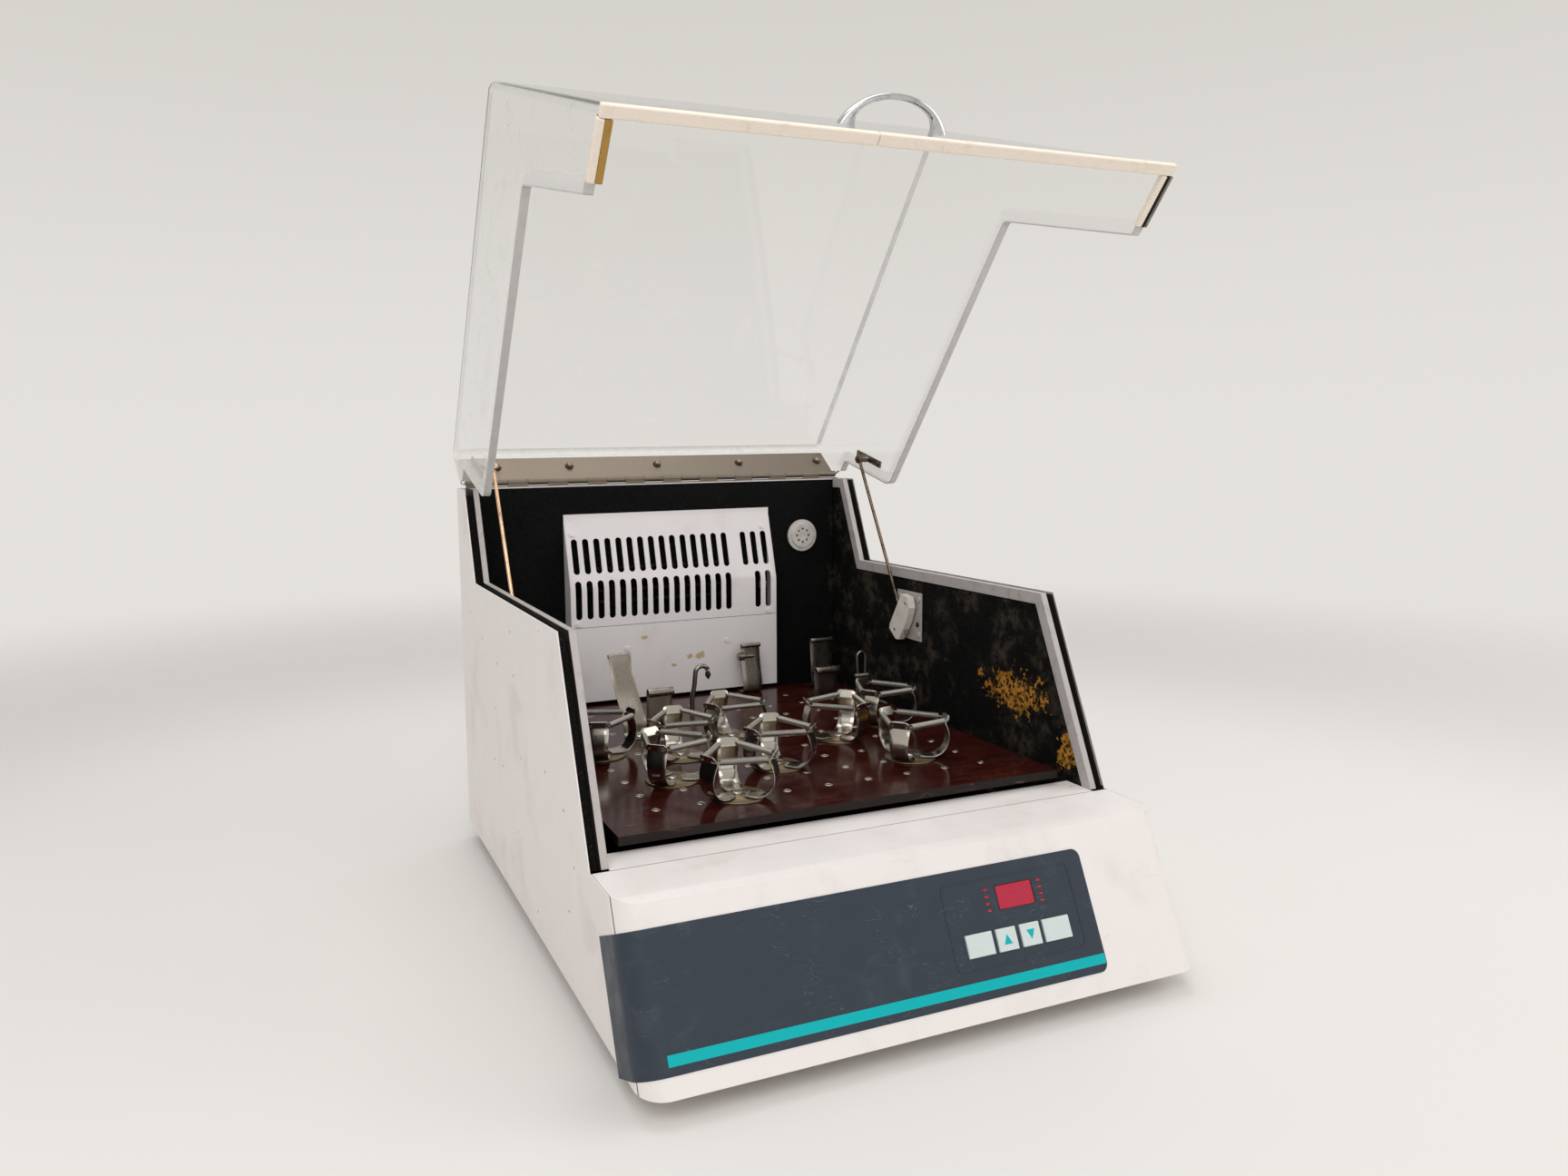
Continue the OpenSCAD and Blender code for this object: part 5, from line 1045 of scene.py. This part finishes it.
class SHAKER_OT_lid(bpy.types.Operator):
    """Clear lid with rounded bends, its seals and its handle."""
    bl_idname = "shaker.lid"
    bl_label = "Clear lid"

    def execute(self, context):
        self.shell()
        self.channels()
        self.skin_lips()
        self.side_bends()
        self.rear_bend_highlight()
        self.acorn_screws()
        self.seals()
        self.handle()
        return {"FINISHED"}

    def shell(self):
        """The bent sheet: roof and two stepped sides, drawn as one skin and thickened inwards."""
        roof = rounded_line([LID_FOOT, LID_BROW, LID_CROWN, LID_HEEL], (BEND_RADIUS, BEND_RADIUS))
        step = rounded_line(STEP_EDGE, (0, 9, 9, 9), 5)
        form = bmesh.new()

        def line_at(x, line):
            return [form.verts.new((x, p.x / 1000 - MID_DEPTH, p.y / 1000)) for p in line]

        left, right = line_at(-LID_HALF, roof), line_at(LID_HALF, roof)
        for i in range(len(roof) - 1):
            form.faces.new((left[i], right[i], right[i + 1], left[i + 1]))
        form.faces.new(left + line_at(-LID_HALF, step))
        form.faces.new(right + line_at(LID_HALF, step))
        bmesh.ops.recalc_face_normals(form, faces=form.faces)
        shared = [edge for edge in form.edges if len(edge.link_faces) == 2]
        creases = [edge for edge in shared if abs(edge.verts[0].co.x - edge.verts[1].co.x) < 1e-6]
        bmesh.ops.bevel(form, geom=creases, offset=look("lid").bend, offset_type="OFFSET", segments=5,
                        affect="EDGES", profile=0.5)
        mesh = bpy.data.meshes.new("lid_sheet")
        form.to_mesh(mesh)
        form.free()
        thing = loose("lid_sheet_form", mesh)
        skin = thing.modifiers.new("sheet", "SOLIDIFY")
        skin.thickness = look("lid").sheet
        skin.offset = -1
        skin.use_even_offset = True
        mesh = applied(thing)
        smooth_by_angle(mesh, 30)
        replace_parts(on_lid("lid_sheet", mesh, "lid_clear"), "lid_shell")

    def channels(self):
        """Clear U-shaped edging with rounded corners along both stepped sides."""
        line = [Vector((635.0, 433.0)), *STEP_EDGE[2:5], Vector((134.6, 155.8))]
        path = rounded_line(line, (6, 14, 8))
        wall, slip, tall, sheet = 0.0014, 0.00005, 0.0125, look("lid").sheet
        profile = [(slip + wall, -slip - wall), (slip + wall, tall), (slip, tall), (slip, -slip),
                   (-sheet - slip, -slip), (-sheet - slip, tall), (-sheet - slip - wall, tall),
                   (-sheet - slip - wall, -slip - wall)]
        mesh = both_sides("lid_edging", path, profile)
        edging = on_lid("lid_edging", mesh, "channel_clear")
        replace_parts(edging, "lid_edge_channels")
        beyond = slip + wall + 0.0001
        web = [(beyond, -slip), (beyond, -beyond), (-sheet - beyond, -beyond), (-sheet - beyond, -slip)]
        end = Vector((124.8, 154.0))
        path = path[:-1] + rounded_corner(line[-2], STEP_EDGE[-1], end, 2, 4) + [end]
        on_lid("edging_webs", both_sides("edging_webs", path, web), "edging_pale")

    def skin_lips(self):
        """Painted lip along the inside of each outer skin's stepped edge."""
        profile = [(0.00194, -0.0001), (0.00206, -0.0001), (0.00206, -0.0024), (0.00194, -0.0024)]
        mesh = both_sides("skin_lips", LIP_EDGE, profile, 35)
        piece("skin_lips", mesh, "lip_paint", "cabinet")

    def side_bends(self):
        """Painted shade: faint grey part-clear bands along the two bends between the roof and the sides."""
        radius = look("lid").bend
        middle = LID_CROWN.y / 1000 - radius
        for side, hand in (("left", -1), ("right", 1)):
            turns = [math.pi / 2 * i / 6 for i in range(7)]
            outline = [(hand * (LID_HALF - radius + radius * scale * math.sin(turn)),
                        middle + radius * scale * math.cos(turn))
                       for scale, order in ((0.53, 1), (0.50, -1)) for turn in turns[::order]]
            mesh = prism("side_bend", outline, 0.204 - MID_DEPTH, 0.646 - MID_DEPTH)
            mesh.transform(FROM_FRONT)
            on_lid("side_bend_" + side, mesh, "side_clear")

    def rear_bend_highlight(self):
        """Painted highlight: a bright part-clear band inside the sheet's rear bend."""
        arc = rounded_corner(LID_BROW, LID_CROWN, LID_HEEL, BEND_RADIUS)
        middle = LID_CROWN - Vector((BEND_RADIUS, BEND_RADIUS))
        outer, inner = [[middle + (p - middle) * scale for p in arc] for scale in (0.565, 0.54)]
        outline = outer + inner[::-1]
        half = LID_HALF - 0.006
        mesh = prism("bend_band", [(p.x / 1000 - MID_DEPTH, p.y / 1000) for p in outline], -half, half)
        mesh.transform(FROM_SIDE)
        on_lid("bend_band", mesh, "bend_clear")

    def acorn_screws(self):
        """Domed screws along the hinge strip, each on a dark ring of painted contact shadow."""
        dome = lathe("acorn", [(0.0, 0.0), (0.0045, 0.0), (0.0045, 0.0014), (0.0041, 0.0022),
                               (0.0040, 0.0032), (0.0033, 0.0047), (0.0019, 0.0058), (0.0, 0.0062)], 32, 30)
        # Painted shadow: a thin dark ring under each screw stands in for its contact shadow.
        washer = lathe("washer", [(0.0, 0.0), (0.0056, 0.0), (0.0056, 0.0004), (0.0, 0.0004)], 32)
        depth, high = 0.6517 - MID_DEPTH, 0.47412
        spots = [moved(x, depth, high) @ turned(90, "X") for x in (-0.210, -0.117, 0.002, 0.120, 0.239)]
        on_lid("acorn_screws", repeated("acorn_screws", dome, spots, 30), "acorn_steel")
        on_lid("acorn_washers", repeated("acorn_washers", washer, spots), "slot_dark")

    def seals(self):
        """Cream bar with its splice, and the two returns, each of two or three strips."""
        for name, left, right, run, finish_name, bevel in SEALS:
            start, end = (depth - MID_DEPTH for depth in run)
            mesh = slab("seal", (left, start, SEAL_LOW), (right, end, SEAL_TOP))
            strip = on_lid("seal_" + name, mesh, finish_name, bevel=bevel, segments=3)
            if name == "bar_left":
                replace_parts(strip, "lid_seal")

    def handle(self):
        """Polished arch that widens into two triangular feet."""
        foot, pull, rise = 0.043, 0.039, 0.0338
        bar, wide, flare, squareness, sides = 0.0025, 0.0045, 0.0052, 0.6, 12
        line = curved(Vector((-foot, 0, 0)), Vector((-pull, 0, rise)), Vector((pull, 0, rise)),
                      Vector((foot, 0, 0)), 40)
        points = []
        for i, here in enumerate(line):
            along = heading(line, i)
            out = Vector((-along.z, 0, along.x))
            near_foot = max(0.0, 1 - min(i, len(line) - 1 - i) / 9)
            thick = bar + near_foot ** 2 * flare
            for k in range(sides):
                turn = 2 * math.pi * k / sides
                side, high = [math.copysign(abs(part) ** squareness, part)
                              for part in (math.cos(turn), math.sin(turn))]
                points.append(here + Vector((0, side * wide, 0)) + out * (high * thick))
        mesh = ringed("lid_arch", points, sides, 50)
        slope = (LID_BROW - LID_FOOT).normalized()
        lean = math.atan2(slope.y, slope.x)
        start = moved(0, LID_FOOT.x / 1000 - MID_DEPTH, LID_FOOT.y / 1000)
        place = start @ Matrix.Rotation(lean, 4, "X") @ moved(0, 0.042, 0.0012)
        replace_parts(on_lid("lid_arch", mesh, "handle_alloy", place), "lid_handle")


def on_board(x, y, z=0.0):
    """Place on the board, given in millimetres from its middle."""
    return BOARD_MIDDLE + Vector((x, y, z)) / 1000


# Clamps from the board's middle: x, y in millimetres and the turn of the first leg in degrees.
CLAMPS = ((-93.4, -170.2, 79.9), (-131.6, -101.2, 106.4), (-169.1, 10.4, 129.6),
          (-17.1, -100.5, 77.3), (-93.9, -27.8, 81.9), (-15.3, 17.4, 88.8),
          (91.3, -33.1, 46.7), (120.8, -130.8, 99.6), (170.1, 4.7, 96.3))
THIRDS = [turned(120 * k, "Z") for k in range(3)]
SHEET = 0.001
TAB_OUT, TAB_SIDE, HOLE_HIGH = 0.0363, 0.008, 0.0405


class SHAKER_OT_flask_clamps(bpy.types.Operator):
    """Nine flask clamps: three sprung legs, a pressed disc, a screw and three wound springs each."""
    bl_idname = "shaker.flask_clamps"
    bl_label = "Flask clamps"

    def execute(self, context):
        legs = self.legs()
        disc = lathe("clamp_disc", [(0.0024, 0.0003), (0.026, 0.0003), (0.0261, 0.0008), (0.0258, 0.0013),
                                    (0.0120, 0.0013), (0.0112, 0.0019), (0.0096, 0.0020), (0.0088, 0.0014),
                                    (0.0076, 0.0014), (0.0066, 0.0020), (0.0024, 0.0020)], 72, 50)
        profile = [(0.0, -0.0074), (0.0022, -0.0074), (0.0022, 0.0021), (0.0044, 0.0021), (0.0043, 0.0031),
                   (0.0036, 0.0038), (0.0022, 0.0041), (0.0, 0.0042)]
        screw = lathe("clamp_screw", profile, 32)
        screw = cut_out(screw, [slab("screw_slot", (-0.006, -0.0005, 0.0034), (0.006, 0.0005, 0.006))])
        springs = self.springs()
        for i, (x, y, turn) in enumerate(CLAMPS):
            place = Matrix.Translation(on_board(x, y)) @ turned(turn, "Z")
            name = "clamp_%d_" % (i + 1)
            for part, mesh, finish_name in (("legs", legs, "clamp_steel"), ("disc", disc, "disc_steel"),
                                            ("screw", screw, "steel"), ("springs", springs, "spring_wire")):
                made = piece(name + part, mesh, finish_name, "platform", place, shared=True)
                if part == "legs":
                    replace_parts(made, "flask_clamp_%d" % (i + 1))
        return {"FINISHED"}

    def legs(self):
        """Three bulging legs whose tabs lean out, with chamfered corners and two spring holes each."""
        line = [Vector((0.009, 0.0023)), Vector((0.013, 0.0023))]
        line += curved(Vector((0.021, 0.0023)), Vector((0.033, 0.0020)), Vector((0.0435, 0.015)),
                       Vector((0.0365, 0.033)), 18)
        line += [Vector((0.0352, 0.0360)), Vector((0.0345, 0.0380)), Vector((0.0349, 0.0390)),
                 Vector((0.0374, 0.0434)), Vector((0.0385, 0.0455))]
        widths = [0.016, 0.018] + [0.021 - 0.003 * math.sin(math.pi * i / 18) for i in range(19)]
        widths += [0.021, 0.021, 0.021, 0.021, 0.0165]
        leg = bent_sheet("clamp_leg", line, widths, SHEET)
        holes = []
        for side in (-TAB_SIDE, TAB_SIDE):
            rim = [(0.0, -0.006), (0.0011, -0.006), (0.0011, 0.006), (0.0, 0.006)]
            hole = lathe("spring_hole", rim, 16)
            hole.transform(moved(TAB_OUT, side, HOLE_HIGH) @ turned(90, "Y"))
            holes.append(hole)
        return repeated("clamp_legs", cut_out(leg, holes), THIRDS, 40)

    def springs(self):
        """Three close-wound springs with looped ends, from tab to tab."""
        start = Vector((TAB_OUT, TAB_SIDE, HOLE_HIGH))
        end = THIRDS[1] @ Vector((TAB_OUT, -TAB_SIDE, HOLE_HIGH))
        reach = (end - start).length
        curls = look("platform").curls
        wire = look("platform").wire
        coil = 0.0032 - wire
        hook = 0.0046
        rings = 10
        # The wire's end hooks through the hole and over the tab's edge.
        ending = [Vector((-0.0019, 0, 0.0016)), Vector((-0.0022, 0, 0.0004)), Vector((-0.0010, 0, 0)),
                  Vector((0.0006, 0, 0)), Vector((hook - 0.0012, 0, 0.0))]
        line = list(ending)
        steps = curls * rings
        for i in range(steps + 1):
            turn = 2 * math.pi * i / rings
            ease = min(1.0, i / 6, (steps - i) / 6)
            x = hook + (reach - 2 * hook) * i / steps
            line.append(Vector((x, -coil * ease * math.sin(turn), coil * ease * math.cos(turn))))
        line += [Vector((reach - p.x, 0, p.z)) for p in reversed(ending)]
        spring = tube("clamp_spring", line, wire, 6)
        along = end - start
        turn = math.atan2(along.y, along.x)
        place = Matrix.Translation(start) @ Matrix.Rotation(turn, 4, "Z")
        return repeated("clamp_springs", spring, [third @ place for third in THIRDS], 60)


# Tall strips: x, y of the screw, width, height, roll radius, lean back in millimetres; turn in degrees.
STRIPS = ((-110, 59, 27, 84, 3, -51, 0), (-71, 111, 31, 46, 5, 0, 180), (99, 219, 27, 65, 3, 9, 180),
          (198, 212, 32, 66, 3, 5, 180), (180, 170, 34, 38, 5, 0, 180))
STRIP_SHEET = 0.0012


class SHAKER_OT_tall_pieces(bpy.types.Operator):
    """Strips with rolled tops, the hooked rod, the wire loop and the loose rod on the platform."""
    bl_idname = "shaker.tall_pieces"
    bl_label = "Tall pieces"

    def execute(self, context):
        screw = lathe("strip_screw", [(0.0, -0.0074), (0.0022, -0.0074), (0.0022, 0.0016), (0.0044, 0.0016),
                                      (0.0042, 0.0028), (0.0030, 0.0037), (0.0, 0.0039)], 32)
        first = None
        for i, (x, y, wide, tall, roll, lean, turn) in enumerate(STRIPS):
            spot = Matrix.Translation(on_board(x, y))
            place = spot @ turned(turn, "Z")
            mesh = self.strip(wide / 1000, tall / 1000, roll / 1000, lean / 1000)
            made = piece("tall_strip_%d" % (i + 1), mesh, "strip_steel", "platform", place)
            piece("tall_strip_screw_%d" % (i + 1), screw, "steel", "platform", spot, shared=True)
            first = first or made
        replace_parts(first, "tall_clamps")
        self.thumb_screw()
        self.hooked_rod()
        self.wire_loop()
        self.board_rims()
        self.guide_holes()
        return {"FINISHED"}

    def board_rims(self):
        """Bright steel rims in the board's 81 holes."""
        ring = lathe("rim", [(0.0024, -0.0035), (0.0024, 0.0001), (0.0027, 0.00028), (0.0035, 0.00028),
                             (0.0039, 0.00002), (0.0039, -0.0002), (0.00245, -0.0003)], 20, 50)
        spots = [Matrix.Translation(on_board(44 * i, 44 * j)) for i in range(-4, 5) for j in range(-4, 5)]
        piece("board_rims", repeated("board_rims", ring, spots, 50), "rim_steel", "platform")

    def guide_holes(self):
        """Painted shade: dark plugs in the two holes of each guide block stand in for the shade in their
        depth.
        """
        for hand, body in ((-1, "left_guide"), (1, "right_guide")):
            low, high = sorted((hand * 0.2353, hand * 0.2424))
            # Painted shade: a dark plug fills each hole.
            plug = lathe("plug", [(0.0, low), (0.0023, low), (0.0023, high), (0.0, high)], 20)
            places = [moved(0, y - MID_DEPTH, z) @ turned(90, "Y")
                      for y, z in ((0.440, 0.291), (0.4634, 0.256))]
            piece(body + "_holes", repeated(body + "_holes", plug, places), "slot_dark", body)
        profile = [(0.0, 0.0), (0.0032, 0.0), (0.0030, 0.0012), (0.0018, 0.0019), (0.0, 0.0021)]
        spot = moved(0.2453, 0.4285 - MID_DEPTH, 0.2665) @ turned(-90, "Y")
        piece("plate_screw", lathe("plate_screw", profile, 24), "rod_bronze", "cabinet", spot)

    def strip(self, wide, tall, roll, lean):
        """One strip: a foot, an S-shaped rise and a rolled top."""
        foot, low, heel = 0.012, 0.0015, 0.004
        line = [Vector((-0.008, low)), Vector((0.004, low))]
        line += [Vector((foot - heel + heel * math.sin(turn), low + heel - heel * math.cos(turn)))
                 for turn in (math.pi / 2 * i / 5 for i in range(6))]
        top = Vector((foot - lean, tall - roll))
        line += curved(Vector((foot + 0.0001, tall * 0.12)), Vector((foot + 0.0008, tall * 0.3)),
                       Vector((foot - lean * 0.8, tall * 0.5)), top, 16)
        line += arch_over(top, roll, 250, 14)[1:]
        mesh = bent_sheet("tall_strip", line, [wide] * len(line), STRIP_SHEET)
        mesh.transform(turned(90, "Z"))
        return mesh

    def thumb_screw(self):
        """Knurled knob and its shaft across the third strip."""
        knob = [(0.0, 0.0), (0.0044, 0.0), (0.0052, 0.0008), (0.0052, 0.0082), (0.0044, 0.009), (0.0, 0.009)]
        knurls = [slab("knurl", (0.0049, -0.0003, 0.0012), (0.0056, 0.0003, 0.0078)) for _ in range(24)]
        for i, cutter in enumerate(knurls):
            cutter.transform(turned(15 * i, "Z"))
        head = cut_out(lathe("knob", knob, 48), knurls)
        shaft = lathe("shaft", [(0.0, 0.0088), (0.0028, 0.0088), (0.0028, 0.022), (0.0, 0.022)], 24)
        both = joined("thumb_screw", [(head, Matrix()), (shaft, Matrix())], 35)
        x, y, _, tall = STRIPS[2][:4]
        place = Matrix.Translation(on_board(x - 18, y - 6, tall - 17)) @ turned(90, "Y")
        piece("strip_thumb_screw", both, "strip_steel", "platform", place)

    def hooked_rod(self):
        """Grey rod, bent over at its top, with a dark worn tip."""
        place = Matrix.Translation(on_board(-7, 156)) @ turned(6, "Y")
        foot = [on_board(-7, 156, -6), on_board(-7, 156, 14)]
        line = [(0, 0.030), (0, 0.040), *arch_over(Vector((0, 0.046)), 0.0085, 150, 10)]
        line = foot + [place @ Vector((x, 0, z)) for x, z in line]
        piece("hooked_rod", tube("hooked_rod", line, 0.0029, 20), "strip_steel", "platform")
        line = [(0.0158, 0.0478), (0.0168, 0.0445), (0.0173, 0.0425), (0.0178, 0.0388)]
        line = [place @ Vector((x, 0, z)) for x, z in line]
        tip = tube("hooked_rod_tip", line, [0.0026, 0.0036, 0.0034, 0.0012], 16)
        piece("hooked_rod_tip", tip, "slot_dark", "platform")

    def wire_loop(self):
        """Upright wire loop with a cross bar, and a loose rod that lies beside it."""
        left = on_board(203, 117)
        gap, tall, waist = 0.012, 0.055, 0.0008
        line = [(0, -0.006), (0, 0.02), (waist, 0.032), *arch_over(Vector((0, tall)), gap / 2, 180, 12),
                (gap - waist, 0.032), (gap, 0.02), (gap, -0.006)]
        line = [left + Vector((x, 0, z)) for x, z in line]
        radius, step = 0.0022, 0.9
        coil = [left + Vector((-0.003 + 0.018 * i / 60, radius * math.cos(i * step),
                               0.030 + radius * math.sin(i * step))) for i in range(61)]
        lying = [on_board(220, y, 2.05) for y in (72, 86, 101, 115)]
        for name, path, radius, sides in (("wire_loop", line, 0.0013, 12), ("wire_loop_bar", coil, 0.0008, 8),
                                          ("loose_rod", lying, 0.002, 16)):
            piece(name, tube(name, path, radius, sides), "spring_wire", "platform")


# Soft lamps: place, height that it looks at, size, and its share of the key lamp's power.
LAMPS = (("key_lamp", (-1.2, -1.9, 2.3), 0.25, 1.8, 1.0), ("side_lamp", (2.2, -0.9, 1.5), 0.2, 1.4, 0.45),
         ("top_lamp", (0.1, 0.5, 2.6), 0.2, 1.6, 0.5), ("front_lamp", (0.3, -2.7, 0.9), 0.3, 1.6, 0.1))


class SHAKER_OT_stage(bpy.types.Operator):
    """Camera of the photograph, pale floor, even world light and four soft lamps."""
    bl_idname = "shaker.stage"
    bl_label = "Stage"

    def execute(self, context):
        self.camera(context.scene)
        self.floor()
        self.world(context.scene)
        key = look("stage").key
        for name, spot, target, size, share in LAMPS:
            self.lamp(name, spot, Vector((0, 0, target)), size, key * share)
        context.scene.view_settings.view_transform = "Standard"
        return {"FINISHED"}

    def camera(self, scene):
        """The photograph's camera: place, turn, lens and a small shift for its framing."""
        data = bpy.data.cameras.new("photo_camera")
        data.sensor_width = 36
        data.lens = 25.349
        data.shift_x = 0.0543
        data.shift_y = -0.0110
        data.clip_end = 30
        yaw, pitch, roll = math.radians(22.198), math.radians(-6.701), math.radians(-0.742)
        ahead = Vector((math.sin(yaw) * math.cos(pitch), math.cos(yaw) * math.cos(pitch), math.sin(pitch)))
        level = Vector((math.cos(yaw), -math.sin(yaw), 0))
        upright = level.cross(ahead)
        right = level * math.cos(roll) + upright * math.sin(roll)
        up = upright * math.cos(roll) - level * math.sin(roll)
        camera = bpy.data.objects.new("photo_camera", data)
        scene.collection.objects.link(camera)
        turn = Matrix((right, up, -ahead)).transposed().to_4x4()
        camera.matrix_world = Matrix.Translation((-0.50021, -1.04891, 0.49127)) @ turn
        scene.camera = camera

    def floor(self):
        """Round pale floor that fades into the background."""
        mesh = lathe("studio_floor", [(0.0, -0.01), (4.0, -0.01), (4.0, 0.0), (0.0, 0.0)], 96)
        floor = bpy.data.objects.new("studio_floor", mesh)
        bpy.context.scene.collection.objects.link(floor)
        material, tree, shader = new_finish("floor", "stage.floor", 0.6, specular=0.2)
        lay_colours(tree, shader, "stage.floor", ((5.0, 1, "e3e0dc"),))
        far = vector_math(tree, "LENGTH", place_of(tree))["Value"]
        tree.links.new(ramp(tree, far, 0.9, 2.9, 1.0, 0.0), shader.inputs["Alpha"])
        mesh.materials.append(material)

    def world(self, scene):
        """Even light for the object, and the pale background for the camera, metal and glass."""
        world = bpy.data.worlds.new("studio_world")
        world.use_nodes = True
        tree = world.node_tree
        light = tree.nodes["Background"]
        light.inputs["Strength"].default_value = look("stage").fill
        light.inputs["Color"].default_value = (1, 0.99, 0.98, 1)
        ahead = tree.nodes.new("ShaderNodeTexCoord").outputs["Generated"]
        height = ramp(tree, separate(tree, ahead, 2), 0.0, 0.45)
        shade = blend_colours(tree, height, look("stage").floor, look("stage").upper)
        seen = add(tree, "ShaderNodeBackground", Color=shade)
        paths = tree.nodes.new("ShaderNodeLightPath").outputs
        plain = math_node(tree, "MAXIMUM", paths["Is Camera Ray"], paths["Is Transmission Ray"])
        plain = math_node(tree, "MAXIMUM", plain, paths["Is Glossy Ray"])
        mixed = add(tree, "ShaderNodeMixShader", plain, light.outputs[0], seen.outputs[0])
        tree.links.new(mixed.outputs[0], tree.nodes["World Output"].inputs["Surface"])
        scene.world = world

    def lamp(self, name, spot, target, size, power):
        """Square soft lamp that looks at a target."""
        data = bpy.data.lights.new(name, "AREA")
        data.size = size
        data.energy = power
        lamp = bpy.data.objects.new(name, data)
        lamp.location = spot
        lamp.rotation_euler = (target - Vector(spot)).to_track_quat("-Z", "Y").to_euler()
        bpy.context.scene.collection.objects.link(lamp)


class SHAKER_PT_panel(bpy.types.Panel):
    """Sidebar panel with the shaker's pieces and colours."""
    bl_idname = "SHAKER_PT_panel"
    bl_label = "Incubated shaker"
    bl_space_type = "VIEW_3D"
    bl_region_type = "UI"
    bl_category = "Shaker"

    def draw(self, context):
        for maker in OPERATORS:
            self.layout.operator(maker.bl_idname)
        for name, group in LOOKS.items():
            box = self.layout.box()
            box.label(text=name.capitalize())
            for key in group.__annotations__:
                box.prop(look(name), key)


OPERATORS = (SHAKER_OT_stage, SHAKER_OT_dress_solids, SHAKER_OT_console_details, SHAKER_OT_lid,
             SHAKER_OT_flask_clamps, SHAKER_OT_tall_pieces)
CLASSES = (*LOOKS.values(), *OPERATORS, SHAKER_PT_panel)


def register():
    for each in CLASSES:
        bpy.utils.register_class(each)
    for name, group in LOOKS.items():
        setattr(bpy.types.Scene, "shaker_" + name, PointerProperty(type=group))


def unregister():
    for name in LOOKS:
        delattr(bpy.types.Scene, "shaker_" + name)
    for each in reversed(CLASSES):
        bpy.utils.unregister_class(each)


def main():
    register()
    for maker in OPERATORS:
        getattr(bpy.ops.shaker, maker.bl_idname.split(".")[1])()


if __name__ == "__main__":
    main()
